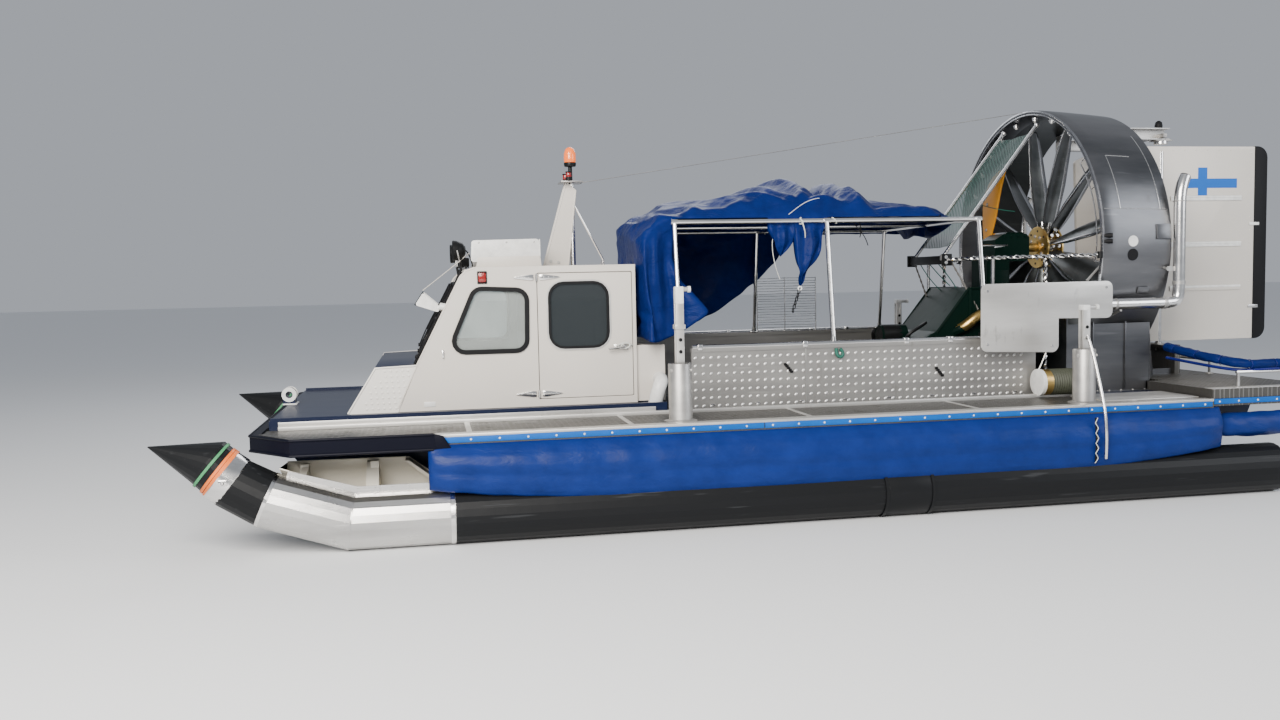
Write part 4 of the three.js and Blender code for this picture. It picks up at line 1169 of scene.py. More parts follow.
def cabin_trim(side, sign):
    """What is fixed to the panel: window rubber, hinge halves, a small lamp, a lock and a blank plate."""
    bm = bmesh.new()
    out = CABIN_SIDE
    add_side_frame(bm, grown(FRONT_WINDOW, 0.014), 0.036, sign, out - 0.03, out + 0.011)
    for z in HINGES:
        add_hinge_leaf(bm, (DOOR["front"] + 0.03, sign * (out + 0.005), z), 1, sign)
        pin = sign * (out + 0.013)
        add_bar(bm, (2.2025, pin, z - 0.03), (2.2025, pin, z + 0.03), 0.009, 12, 2)
    fittings = {"lamp_back": (2.595, 2.672, 0, 0.012, 1.872, 1.972, 0.004, 0),
        "lamp": (2.603, 2.664, 0.008, 0.024, 1.885, 1.96, 0.01, 3),
        "plate": (3.03, 3.12, 0, 0.004, 0.905, 0.945, 0.0015, 4),
        "lock": (2.953, 2.967, 0.006, 0.02, 1.29, 1.345, 0.003, 2)}
    for x0, x1, inner, outer, z0, z1, bevel, finish in fittings.values():
        add_box(bm, (x0, sign * (out + inner), z0), (x1, sign * (out + outer), z1), bevel, finish)
    add_dome(bm, (2.96, sign * out, 1.34), 0.017, 0.012, (0, sign, 0), 2, 16)
    seam_y0, seam_y1 = sorted((sign * (out - 0.004), sign * (out + 0.004)))
    for x in (DOOR["rear"] - 0.0025, DOOR["front"] + 0.0025):
        add_box(bm, (x - 0.0022, seam_y0, DOOR["bottom"]), (x + 0.0022, seam_y1 - 0.006, DOOR["top"]))
    finish_piece(bm, f"cabin_trim_{side}", ["rubber", "alloy", "tube_steel", "red", "white"])


def cabin_edges():
    """The pale edge welds of the pillars and the gutter round the roof."""
    bm = bmesh.new()
    for sign in SIDES.values():
        y = sign * (CABIN_SIDE - 0.006)
        route = [(3.322, y, 0.9), (3.164, y, 1.24), (2.806, y, 1.93), (2.76, y, 1.976), (2.69, y, 2.0)]
        add_tube(bm, route, 0.009, 8, False)
        add_tube(bm, [(2.69, y, 2.0), (1.395, y, 2.0)], 0.007, 8, False)
    add_tube(bm, [(2.765, -1.0, 1.978), (2.765, 1.0, 1.978)], 0.011, 8, False)
    add_tube(bm, [(1.393, -1.0, 2.0), (1.393, 1.0, 2.0)], 0.008, 8, False)
    finish_piece(bm, "cabin_edges", ["cabin"], smooth=60)


def nose_dimples(side, sign):
    """Round dimples punched in the nose's side plate, and its folded edge."""
    bm = bmesh.new()
    y = sign * CABIN_SIDE
    for row, z in enumerate(spread(0.905, 1.2, 8)):
        front = 3.71 - (z - 0.871) * (0.22 / 0.354) - 0.04
        rear = 3.322 - (z - 0.871) * (0.154 / 0.364) + 0.03
        count = max(2, int((front - rear) / 0.045))
        for k in range(count):
            x = rear + 0.045 * k + (0.022 if row % 2 else 0.0)
            if x < front:
                add_dome(bm, (x, y - sign * 0.001, z), 0.013, 0.0045, (0, sign, 0))
    add_tube(bm, [(3.708, y, 0.875), (3.488, y, 1.226), (3.17, y, 1.236)], 0.008, 8, False)
    finish_piece(bm, f"nose_dimples_{side}", ["nose"], smooth=60)


def nose_tread():
    """Dark plates on the nose's top and front."""
    bm = bmesh.new()
    add_side_plate(bm, [(3.488, 1.2265), (3.17, 1.2365), (3.17, 1.241), (3.49, 1.231)], 1.0, 2.0, 0, 0.001)
    slope = Vector((3.71 - 3.49, 0, 0.871 - 1.225)).normalized()
    add_plate(bm, oblong(0.02, 0.38, -0.98, 0.98), (3.493, 0, 1.224), slope, Y, 0.004, 0, 0.001)
    finish_piece(bm, "nose_tread", ["navy"])


def windscreen_fittings():
    """Rubber round the two panes, the middle bar, wipers and the lamp wires down the pillar."""
    bm = bmesh.new()
    foot, head = Vector((3.134, 0, 1.3)), Vector((2.822, 0, 1.89))
    up, tall = (head - foot).normalized(), (head - foot).length
    for y0, y1 in ((-0.93, -0.02), (0.02, 0.93)):
        outline = rounded(oblong(y0, y1, 0.0, tall), 0.05)
        add_frame(bm, outline, 0.035, foot, Y, up, 0.016)
    add_plate(bm, oblong(-0.03, 0.03, -0.01, tall + 0.01), foot, Y, up, 0.012, 1)
    for base in (0.5, -0.45):
        pivot = foot + up * 0.03 + Vector((0.03, base, 0))
        tip = foot + up * 0.42 + Vector((0.03, base - 0.2, 0))
        add_bar(bm, pivot - Vector((0.03, 0, 0)), pivot + Vector((0.012, 0, 0)), 0.016, 12)
        add_tube(bm, [pivot, pivot.lerp(tip, 0.5) + Vector((0.016, 0, 0.006)), tip], 0.006)
        way = Vector((0, 0.06, 0)) + up * 0.24
        add_tube(bm, [tip - way, tip, tip + way], 0.008, 6)
    route = [(2.79, 0.93, 2.01), (2.845, 0.955, 1.86), (2.93, 0.96, 1.72), (3.0, 0.955, 1.6),
        (3.09, 0.95, 1.42), (3.16, 0.95, 1.3), (3.185, 0.95, 1.24)]
    add_tube(bm, route, 0.011)
    for point in route[1:-1]:
        add_ball(bm, point, (0.02, 0.018, 0.024), 0, 8, 5)
    add_bar(bm, (2.92, 0.975, 1.69), (2.97, 0.965, 1.70), 0.03, 16, 2)
    add_tube(bm, [(2.71, 0.62, 2.13), (2.9, 0.8, 1.98), (3.1, 0.94, 1.83)], 0.0035, 6, True, 1)
    finish_piece(bm, "windscreen_fittings", ["rubber", "cabin", "white"])
    for side, sign in SIDES.items():
        mirror_housing(side, sign)


def mirror_housing(side, sign):
    """A white housing with a dark glass on its face."""
    bm = bmesh.new()
    rim = rounded([(2.99, 1.655), (3.165, 1.715), (3.1, 1.812), (2.96, 1.69)], 0.014, 3)
    add_side_panel(bm, [rim], sign, 0.8, 0.95)
    edge = rounded([(3.155, 1.708), (3.172, 1.716), (3.105, 1.818), (3.09, 1.806)], 0.004, 2)
    add_side_panel(bm, [edge], sign, 0.803, 0.947, 1)
    add_tube(bm, [(2.99, sign * 0.94, 1.69), (2.965, sign * 0.95, 1.68), (2.944, sign * 0.955, 1.68)], 0.012)
    finish_piece(bm, f"mirror_housing_{side}", ["white", "glass"],
        replaces=[f"mirror_{side}"], smooth=50)


def cabin_rear():
    """Rubber round the rear window, and the ribbed white pipe behind the cabin."""
    bm = bmesh.new()
    outline = rounded(oblong(-0.45, 0.45, 1.4, 1.8), 0.07)
    add_panel(bm, [grown(outline, 0.03), grown(outline, -0.012)], (1.378, 0, 0), Y, Z, 0.02)
    pipe = [(1.2, 0.98, 1.06), (1.2, 1.05, 1.06), (1.21, 1.13, 1.05), (1.24, 1.16, 1.0), (1.26, 1.15, 0.93),
        (1.27, 1.13, 0.86)]
    add_tube(bm, pipe, 0.058, 16, True, 1, 12)
    for k in range(9):
        t = 0.25 + 0.06 * k
        place = Vector(pipe[1]).lerp(Vector(pipe[-1]), t)
        add_ball(bm, place + Vector((0.0, 0.03 * sin(t * pi), 0.02)), (0.06, 0.05, 0.012), 1, 16, 6)
    finish_piece(bm, "cabin_rear_fittings", ["rubber", "white"], smooth=60)


class HOVERCRAFT_OT_cabin(bpy.types.Operator):
    """Makes the cabin's side panels and doors with rounded windows, rubber, hinges and handles"""

    bl_idname = "hovercraft.cabin"
    bl_label = "Cabin"

    def execute(self, context):
        for side, sign in SIDES.items():
            side_panel(side, sign)
            cabin_door(side, sign)
            cabin_trim(side, sign)
            nose_dimples(side, sign)
        cabin_edges()
        nose_tread()
        windscreen_fittings()
        cabin_rear()
        return {"FINISHED"}


def roof_lamp_box():
    """The lamp box across the roof, its blank number board and a board behind it."""
    bm = bmesh.new()
    side = rounded([(2.11, ROOF_SEAT), (2.66, ROOF_SEAT), (2.64, 2.095), (2.12, 2.1)], 0.012, 3)
    add_side_plate(bm, side, 0.6, 1.2, 0, 0.002)
    board = rounded([(2.115, 2.07), (2.7, 2.055), (2.69, 2.235), (2.13, 2.242)], 0.025, 4)
    add_side_plate(bm, board, 0.594, 0.008, 1, 0.002)
    rear_board = rounded(oblong(-0.3, 0.6, 2.06, 2.24), 0.02, 4)
    add_plate(bm, rear_board, (2.118, 0, 0), Y, Z, 0.008, 1, 0.002)
    for x in (2.17, 2.4, 2.63):
        add_dome(bm, (x, 0.594, 2.215), 0.008, 0.005, Y, 2)
        add_bar(bm, (x, 0.56, 2.09), (x, 0.585, 2.16), 0.008, 8)
    for y in spread(-0.2, 0.5, 4):
        add_bolt(bm, (2.112, y, 2.08), 0.008, (-1, 0, 0), 2)
    finish_piece(bm, "roof_lamp_box", ["cabin", "white", "dull_steel"],
        replaces=["roof_box"], smooth=40)


def search_lamps():
    """Two search lamps with clear lenses and two small square ones, on brackets ahead of the box."""
    bm = bmesh.new()
    for y in (0.48, -0.48):
        z = 2.155
        add_lathe(bm, [(-0.075, 0.0), (-0.073, 0.03), (-0.05, 0.066), (0.0, 0.083), (0.03, 0.086),
            (0.036, 0.08), (0.03, 0.074), (0.02, 0.0)], (2.81, y, z), X, 32)
        add_lathe(bm, [(0.022, 0.0), (0.026, 0.05), (0.021, 0.073), (0.016, 0.0)], (2.81, y, z), X, 32, 1)
        add_tube(bm, [(2.81, y - 0.092, z), (2.8, y - 0.09, z - 0.05), (2.79, y - 0.05, z - 0.1),
            (2.79, y + 0.05, z - 0.1), (2.8, y + 0.09, z - 0.05), (2.81, y + 0.092, z)], 0.007, 8, True, 2)
        add_bar(bm, (2.79, y, z - 0.1), (2.77, y, ROOF_TOP - 0.06), 0.012, 10, 2)
        add_tube(bm, [(2.735, y, z), (2.7, y - 0.02, z - 0.03), (2.68, y - 0.01, 2.02)], 0.006)
    for y in (0.2, -0.2):
        add_box(bm, (2.70, y - 0.05, 2.02), (2.8, y + 0.05, 2.1), 0.01)
        add_box(bm, (2.795, y - 0.042, 2.028), (2.806, y + 0.042, 2.092), 0.004, 1)
    add_tube(bm, [(2.74, -0.56, 2.012), (2.74, 0.56, 2.012)], 0.012, 8, False, 2)
    finish_piece(bm, "search_lamps", ["black", "clear", "dull_steel"], smooth=50)


def mast_plates():
    """Two plates with round edges, a pole, a stay, and two red lamps on a shelf."""
    bm = bmesh.new()
    base = ROOF_SEAT
    blade = [(2.04, base), (1.81, base), (1.725, 2.69), (1.815, 2.775)]
    for y in (0.04, -0.032):
        add_side_plate(bm, blade, y, 0.008)
    for foot, head, top in ((2.032, 1.812, 2.77), (1.815, 1.73, 2.69)):
        for y in (-0.036, 0.036):
            add_bar(bm, (foot, y, base + 0.002), (head, y, top), 0.008, 8)
    add_plate(bm, oblong(-0.036, 0.036, 0, 0.8), (2.03, 0, base), Y,
        Vector((1.812 - 2.032, 0, 0.77)).normalized(), 0.004)
    add_bar(bm, (1.765, 0.02, base), (1.762, 0.0, 2.76), 0.024, 18, 1)
    add_tube(bm, [(1.762, 0.0, 2.6), (1.49, 0.0, 2.07), (1.49, 0.0, 2.04)], 0.009, 10, False, 1)
    add_box(bm, (1.465, -0.03, base), (1.535, 0.03, base + 0.012), 0.003, 1)
    add_side_plate(bm, [(1.475, base), (1.525, base), (1.51, 2.07), (1.48, 2.07)], 0.005, 0.01, 1)
    add_box(bm, (1.67, -0.13, 2.757), (1.87, 0.13, 2.768), 0.003, 2)
    for y in (-0.11, 0.11):
        for z0, z1, radius, finish, bevel in ((2.768, 2.8, 0.026, 3, 0), (2.8, 2.84, 0.024, 4, 0.004),
                (2.84, 2.85, 0.028, 3, 0.003)):
            add_bar(bm, (1.8, y, z0), (1.8, y, z1), radius, 16, finish, bevel=bevel)
    for x, z in ((1.9, 2.05), (1.97, 2.06)):
        add_bolt(bm, (x, 0.041, z), 0.01, Y, 2)
    finish_piece(bm, "mast_plates", ["cabin", "tube_steel", "dull_steel", "black", "red"],
        replaces=["mast"], smooth=40)


def beacon_lamp():
    """The amber dome on its stalk at the mast's head."""
    bm = bmesh.new()
    at = (1.77, 0, 0)
    add_lathe(bm, [(2.768, 0.0), (2.768, 0.045), (2.776, 0.045), (2.78, 0.02), (2.9, 0.018), (2.905, 0.05),
        (2.93, 0.056), (2.94, 0.052), (2.94, 0.0)], at, Z, 28)
    add_lathe(bm, [(2.938, 0.0), (2.938, 0.05), (2.96, 0.054), (3.02, 0.052), (3.06, 0.038), (3.076, 0.014),
        (3.078, 0.0)], at, Z, 36, 1)
    finish_piece(bm, "beacon_lamp", ["black", "amber"], replaces=["beacon"], smooth=40)


def stay_wire():
    """The taut wire from the mast's head to the crown of the duct."""
    bm = bmesh.new()
    head = (1.68, 0, 2.76)
    add_tube(bm, [head, (DUCT_FRONT + 0.01, 0, DUCT_Z + 1.3)], 0.0035, 6, False)
    add_ball(bm, head, 0.012, 0, 8, 5)
    finish_piece(bm, "stay_wire", ["dull_steel"])


class HOVERCRAFT_OT_roof(bpy.types.Operator):
    """Makes the roof box, its blank board, the search lamps, the mast and the beacon"""

    bl_idname = "hovercraft.roof"
    bl_label = "Roof and mast"

    def execute(self, context):
        roof_lamp_box()
        search_lamps()
        mast_plates()
        beacon_lamp()
        stay_wire()
        return {"FINISHED"}


def wall_dimples(side, sign, sizes):
    """Slanted oval dimples in straight rows, on the wall's outer face, in a bright alloy that paints their
    highlights.
    """
    bm = bmesh.new()
    rear, front = low(f"bulwark_{side}").x + 0.04, high(f"bulwark_{side}").x - 0.03
    y = sign * (BULWARK_OUT - 0.0105)
    turn = Matrix.Rotation(radians(38) * sign, 4, "Y")
    columns = int((front - rear) / sizes.dimple_pitch)
    for i in range(columns):
        for k in range(7):
            x = front - i * sizes.dimple_pitch
            z = 0.835 + k * sizes.dimple_pitch
            made = bmesh.ops.create_uvsphere(bm, u_segments=8, v_segments=5, radius=1.0)
            shape = Matrix.Diagonal((sizes.dimple, 0.007, sizes.dimple * 0.62, 1.0))
            bmesh.ops.transform(bm, matrix=Matrix.Translation((x, y, z)) @ turn @ shape, verts=made["verts"])
    finish_piece(bm, f"wall_dimples_{side}", ["dimple"], smooth=80, doubles=0)


def wall_fittings(side, sign):
    """Rubber straps, the capping and its joints, lashing eyes, a green loop and the seam of two plates."""
    bm = bmesh.new()
    out = sign * (BULWARK_OUT - 0.008)
    for x, z in ((0.175, 1.145), (-1.17, 1.065)):
        for k in range(5):
            add_box(bm, (x - 0.016 - k * 0.013, out, z - k * 0.016),
                (x + 0.012 - k * 0.013, out + sign * 0.012, z + 0.02 - k * 0.016), 0.004)
    top = 1.31
    add_bar(bm, (-2.09, sign * 1.18, top + 0.006), (0.96, sign * 1.18, top + 0.006), 0.021, 14, 1)
    for x in (0.9, 0.0, -0.9, -1.3, -2.0):
        add_box(bm, (x - 0.022, sign * 1.18 - 0.026, top - 0.02),
            (x + 0.022, sign * 1.18 + 0.026, top + 0.032), 0.006, 1)
    add_box(bm, (-0.01, out, 0.81), (0.0, out + sign * 0.004, 1.28), 0.0, 2)
    hook = [(-0.27, out + sign * 0.01, 1.27), (-0.26, out + sign * 0.03, 1.22),
        (-0.3, out + sign * 0.035, 1.18), (-0.335, out + sign * 0.03, 1.23), (-0.3, out + sign * 0.02, 1.27)]
    add_tube(bm, hook, 0.014, 8, True, 3)
    for x in spread(-1.9, 0.8, 8):
        add_tube(bm, [(x - 0.02, out, 0.845), (x - 0.012, out + sign * 0.018, 0.85),
            (x + 0.012, out + sign * 0.018, 0.85), (x + 0.02, out, 0.845)], 0.004, 6, True, 1)
    finish_piece(bm, f"wall_fittings_{side}", ["rubber", "tube_steel", "dull_steel", "net"],
        smooth=50)


def cargo_wires():
    """Slack horizontal wires on three uprights."""
    bm = bmesh.new()
    lowest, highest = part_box("cargo_screen")
    x0, x1 = lowest.x, highest.x
    y = (lowest.y + highest.y) / 2
    for i, z in enumerate(spread(lowest.z + 0.02, highest.z - 0.01, 21)):
        wave = [(x, y + 0.003 * noise((x * 7, i * 0.9, 1.0)), z + 0.008 * noise((x * 4.0, i * 0.7, 5.0)))
            for x in spread(x0 + 0.01, x1 - 0.01, 9)]
        add_tube(bm, wave, 0.0034, 6, True, 0, 3)
    for x in (x0 + 0.012, x1 - 0.012, (x0 + x1) / 2 + 0.02):
        add_bar(bm, (x, y, lowest.z), (x, y, highest.z), 0.0058, 10)
    finish_piece(bm, "cargo_wires", ["tube_steel"], replaces=["cargo_screen"], smooth=60,
        doubles=0)


def canopy_clamps():
    """Clamps and end caps where the canopy's rails meet its posts."""
    bm = bmesh.new()
    for sign in SIDES.values():
        for x in CANOPY_POSTS:
            add_bar(bm, (x - 0.028, sign * 1.0, RAIL_Z), (x + 0.028, sign * 1.0, RAIL_Z), 0.0235, 16)
            add_bar(bm, (x, sign * 1.1435, 1.325), (x, sign * 1.1392, 1.37), 0.0245, 16)
            add_box(bm, (x - 0.03, sign * 1.145 - 0.03, 1.3105), (x + 0.03, sign * 1.145 + 0.03, 1.325),
                0.003)
        knot = [(-0.34 + 0.02 * sin(t), sign * 1.0 + 0.026 * cos(t), RAIL_Z + 0.026 * sin(t))
            for t in spread(0, 12, 25)]
        add_tube(bm, knot, 0.004, 6, True, 1, 4)
    finish_piece(bm, "canopy_clamps", ["tube_steel", "lace"], smooth=40)


class HOVERCRAFT_OT_cargo_sides(bpy.types.Operator):
    """Dresses the cargo deck's side walls with dimples, straps and rails, and makes the wire screen"""

    bl_idname = "hovercraft.cargo_sides"
    bl_label = "Cargo sides"

    def execute(self, context):
        sizes = context.scene.hovercraft.plates
        for side, sign in SIDES.items():
            wall_dimples(side, sign, sizes)
            wall_fittings(side, sign)
        cargo_wires()
        canopy_clamps()
        return {"FINISHED"}


BLADES = 12
FIRST_BLADE = radians(10)
# Sections of a blade as (radius, chord, twist in degrees, cup)
BLADE_SECTIONS = [(0.13, 0.1, 72, 0.012), (0.2, 0.14, 70, 0.022), (0.32, 0.23, 66, 0.04),
    (0.6, 0.33, 59, 0.055), (0.95, 0.34, 52, 0.05), (1.12, 0.3, 48, 0.036), (1.188, 0.24, 45, 0.024)]


def add_blade(bm, where, turn):
    """A cupped, twisted blade whose rim takes the bright lip finish as a painted highlight."""
    def shape(u, v):
        place = v * (len(BLADE_SECTIONS) - 1)
        i = min(int(place), len(BLADE_SECTIONS) - 2)
        t = place - i
        pairs = zip(BLADE_SECTIONS[i], BLADE_SECTIONS[i + 1])
        radius, chord, twist, cup = (a + (b - a) * t for a, b in pairs)
        angle = radians(twist)
        across = (u - 0.5) * chord
        lift = cup * (1 - (2 * u - 1) ** 2)
        point = Vector((across * sin(angle) + lift * cos(angle), across * cos(angle) - lift * sin(angle),
            radius))
        return where + Matrix.Rotation(turn, 3, "X") @ point

    made = add_grid(bm, 10, 24, shape)
    # The rim's bright finish paints the highlights along the blade's edges.
    rim = {edge for vert in made for edge in vert.link_edges if edge.is_boundary}
    for face in {face for edge in rim for face in edge.link_faces}:
        face.material_index = 1


def fan_hub(where):
    """The two brass discs, the boss between them, and a clamp at each blade's root."""
    bm = bmesh.new()
    for x in (0.075, -0.075):
        add_lathe(bm, [(x - 0.012, 0.0), (x - 0.012, 0.19), (x - 0.008, 0.2), (x + 0.008, 0.2),
            (x + 0.012, 0.19), (x + 0.012, 0.0)], where, X)
    add_lathe(bm, [(-0.07, 0.0), (-0.07, 0.115), (0.07, 0.115), (0.07, 0.0)], where, X, 32, 1)
    add_lathe(bm, [(0.08, 0.0), (0.08, 0.07), (0.1, 0.066), (0.105, 0.044), (0.19, 0.042), (0.198, 0.036),
        (0.2, 0.0)], where, X, 32)
    for k in range(8):
        turn = Matrix.Rotation(k * tau / 8 + 0.2, 3, "X")
        add_bolt(bm, where + turn @ Vector((0.087, 0, 0.11)), 0.012, X, 1)
        add_bar(bm, where + turn @ Vector((0.086, 0.05, 0.15)), where + turn @ Vector((0.089, 0.05, 0.15)),
            0.011, 10, 2)
    for k in range(BLADES):
        turn = Matrix.Rotation(FIRST_BLADE + k * tau / BLADES, 3, "X")
        root = where + turn @ Vector((0, 0, 0.14))
        tip = where + turn @ Vector((0, 0, 0.25))
        add_bar(bm, root, tip, 0.028, 14, 3, end_radius=0.02)
        for x in (-0.03, 0.03):
            add_bolt(bm, where + turn @ Vector((x, 0.03, 0.205)), 0.01, turn @ Vector((0, 0.4, 1)), 3)
    finish_piece(bm, "fan_hub", ["brass", "dull_steel", "black", "tube_steel"], "fan", smooth=40)


class HOVERCRAFT_OT_fan(bpy.types.Operator):
    """Makes the fan: cupped blades with painted highlights on their edges, brass discs, clamps and a boss"""

    bl_idname = "hovercraft.fan"
    bl_label = "Fan"

    def execute(self, context):
        where = Vector(next(j for j in frame["joints"] if j["name"] == "fan_spin")["pos_m"])
        bm = bmesh.new()
        for k in range(BLADES):
            add_blade(bm, where, FIRST_BLADE + k * tau / BLADES)
        fan = finish_piece(bm, "fan_blades", ["blade", "duct_lip"], "fan", ["propeller"], smooth=50)
        thick = fan.modifiers.new("thick", "SOLIDIFY")
        thick.thickness = 0.006
        thick.offset = 0
        fan_hub(where)
        return {"FINISHED"}


DUCT_CENTRE = Vector((0, 0, 2.115))
LIP_X, TAIL_X = -2.665, -3.36


def outwards(angle):
    """The way out of the duct; the angle is from up towards port."""
    return Vector((0, sin(angle), cos(angle)))


def duct_radius(x):
    """The outer radius along the duct, which narrows towards its rear."""
    t = (LIP_X - x) / (LIP_X - TAIL_X)
    return 1.31 - 0.05 * t ** 1.3


def on_duct(x, angle, lift=0.0):
    """A point on the outer skin; the angle is from up towards port."""
    radius = duct_radius(x) + lift
    return Vector((x, radius * sin(angle), DUCT_CENTRE.z + radius * cos(angle)))


def duct_shell():
    """The duct's skins, the inner one in a darker steel as painted shade, with rolled edges."""
    bm = bmesh.new()
    outer = [(x, duct_radius(x)) for x in (-2.69, -2.8, -2.95, -3.1, -3.24, -3.355)]
    inner = [(x, 1.236 if x < -2.86 else 1.236 + (x + 2.86) * 0.15)
        for x in (-3.35, -3.2, -3.0, -2.86, -2.75, -2.69)]
    profile = [(LIP_X - 0.003, 1.3), *outer, *inner, (LIP_X - 0.003, 1.266), (LIP_X - 0.003, 1.3)]
    add_lathe(bm, profile, DUCT_CENTRE, X, 128)
    for x, radius, fat in ((LIP_X - 0.005, 1.296, 0.012), (LIP_X - 0.007, 1.27, 0.009),
            (TAIL_X + 0.004, 1.25, 0.009)):
        ring = [(x + fat * cos(t), radius + fat * sin(t)) for t in spread(0, tau, 9)]
        add_lathe(bm, ring, DUCT_CENTRE, X, 128, 1)
    # Faces of the inner skin take the dark steel: painted shade inside the duct.
    for face in bm.faces:
        place = face.calc_center_median() - DUCT_CENTRE
        if hypot(place.y, place.z) < 1.243 and face.material_index == 0:
            face.material_index = 2
    finish_piece(bm, "duct_shell", ["duct", "duct_lip", "duct_inner"], replaces=["duct"],
        smooth=40)


def add_bead(bm, points, radius=0.0035, finish=0):
    """A thin weld along some points."""
    add_tube(bm, points, radius, 6, True, finish, 3)


def duct_marks():
    """The weld outline of a let-in sheet, a seam, a white disc, a black disc that paints the shade in a hole,
    and small clips.
    """
    bm = bmesh.new()
    corner = {"front": -2.85, "rear": -3.09, "top": radians(53.5), "bottom": radians(77)}

    def wobble(t):
        return 0.002 * noise((t * 40.0, 0.0, 0.0))

    add_bead(bm, [on_duct(corner["front"] + wobble(t), t)
        for t in spread(corner["top"], corner["bottom"], 24)])
    add_bead(bm, [on_duct(x, corner["top"]) for x in spread(corner["front"], corner["rear"], 8)])
    for angle in (corner["bottom"], -corner["bottom"], radians(180)):
        add_bead(bm, [on_duct(x, angle) for x in spread(-2.69, -3.34, 12)], 0.003)
    add_bead(bm, [on_duct(-3.26 + wobble(t), t) for t in spread(radians(40), radians(77), 24)], 0.003)
    # The second disc is black rubber: painted shade in a hole.
    for degrees, size, finish in ((89.6, 0.047, 1), (94.8, 0.052, 2)):
        angle = radians(degrees)
        here = on_duct(-2.96, angle)
        out = outwards(angle)
        add_bar(bm, here - out * 0.004, here + out * 0.004, size, 32, finish)
    for x, degrees, wide, tall in ((-3.27, 86, 0.07, 0.066), (-3.11, 109, 0.055, 0.03)):
        angle = radians(degrees)
        around = Vector((0, cos(angle), -sin(angle)))
        clip = rounded(oblong(-wide, wide, -tall, tall), 0.008, 3)
        add_plate(bm, clip, on_duct(x, angle, 0.004), X, around, 0.012, 3, 0.002)
    angle = radians(88.5)
    out = outwards(angle)
    around = Vector((0, cos(angle), -sin(angle)))
    for shift in (-0.025, 0.025):
        place = on_duct(-2.69, angle) + around * shift
        add_bar(bm, place - out * 0.03 + Vector((0.02, 0, 0)), place + out * 0.02 - Vector((0.05, 0, 0)),
            0.02, 10, 2)
    finish_piece(bm, "duct_marks", ["sheath", "white", "rubber", "duct"], smooth=50)


def duct_inside():
    """Bolt tabs inside the lip, and a wire hoop stood off the inner skin on short stays."""
    bm = bmesh.new()
    for degrees in (-62, -50, -38, -26, -12, 4, 18, 34):
        angle = radians(degrees)
        out = outwards(angle)
        seat = DUCT_CENTRE + Vector((-2.74, 0, 0)) + out * 1.245
        add_bar(bm, seat, seat - out * 0.03, 0.026)
        add_bolt(bm, seat - out * 0.03, 0.014, -out, 1)
    hoop = []
    for degrees in spread(52, 98, 14):
        angle = radians(degrees)
        hoop.append(DUCT_CENTRE + Vector((-2.69 - 0.012 * sin((degrees - 52) / 46 * pi), sin(angle) * 1.165,
            cos(angle) * 1.165)))
    add_tube(bm, hoop, 0.006, 8, True, 0, 4)
    for i in (0, 4, 9, 13):
        angle = atan2(hoop[i].y, hoop[i].z - DUCT_CENTRE.z)
        out = outwards(angle)
        add_tube(bm, [hoop[i], hoop[i] + out * 0.09 + Vector((-0.01, 0, 0))], 0.005, 6, False)
    finish_piece(bm, "duct_inner_fittings", ["tube_steel", "dull_steel"], smooth=40)


def rudder_beams():
    """The channel beams over the rudders, with their top bearings."""
    bm = bmesh.new()
    for sign in SIDES.values():
        y = sign * RUDDER_Y
        section = [(-0.045, 0.0), (0.045, 0.0), (0.045, 0.012), (-0.033, 0.012), (-0.033, 0.098),
            (0.045, 0.098), (0.045, 0.11), (-0.045, 0.11)]
        add_plate(bm, section, (-3.9, y, 3.1), Y, Z, 0.58, 0, 0.001)
        add_box(bm, (-3.92, y - 0.06, 3.088), (-3.75, y + 0.06, 3.1), 0.003)
        add_box(bm, (-3.4, y - 0.045, 3.205), (-3.325, y + 0.045, 3.255), 0.003)
        add_lathe(bm, [(3.062, 0.0), (3.062, 0.062), (3.088, 0.062), (3.088, 0.0)], (RUDDER_PIVOT, y, 0), Z,
            28, 1)
        add_lathe(bm, [(3.208, 0.0), (3.208, 0.034), (3.236, 0.036), (3.266, 0.03), (3.281, 0.012),
            (3.284, 0.0)], (-3.81, y, 0), Z, 24, 2)
    add_box(bm, (-3.87, -RUDDER_Y - 0.045, 3.12), (-3.83, RUDDER_Y + 0.045, 3.16), 0.003)
    finish_piece(bm, "rudder_beams", ["dull_steel", "tube_steel", "rubber"], smooth=40)


def pedestal_details():
    """Weld beads, bolted edges and stiffeners on the duct's foot."""
    bm = bmesh.new()
    for sign in SIDES.values():
        add_box(bm, (-3.26, sign * 1.1, 0.8005), (-2.46, sign * 1.14, 0.806), 0.001)
        for x in spread(-2.51, -3.21, 7):
            add_bolt(bm, (x, sign * 1.12, 0.806), 0.009, Z, 1)
        for x, z in ((-2.452, 0.81), (-3.27, 0.885)):
            add_bead(bm, [(x, sign * 1.1, z), (x, sign * 1.1, 1.3)], 0.005)
        for x in (-2.7, -3.02):
            add_box(bm, (x - 0.004, sign * 1.099, 0.82), (x + 0.004, sign * 1.118, 1.42), 0.001)
    finish_piece(bm, "pedestal_details", ["duct", "dull_steel"], smooth=40)


class HOVERCRAFT_OT_duct(bpy.types.Operator):
    """Makes the duct's shell, lip, welds, tabs and marks, its pedestal and the beams of the rudders"""

    bl_idname = "hovercraft.duct"
    bl_label = "Duct"

    def execute(self, context):
        duct_shell()
        duct_marks()
        duct_inside()
        rudder_beams()
        pedestal_details()
        return {"FINISHED"}


RUDDER_HALF = 0.0225
RUDDER_PIVOT = -3.835


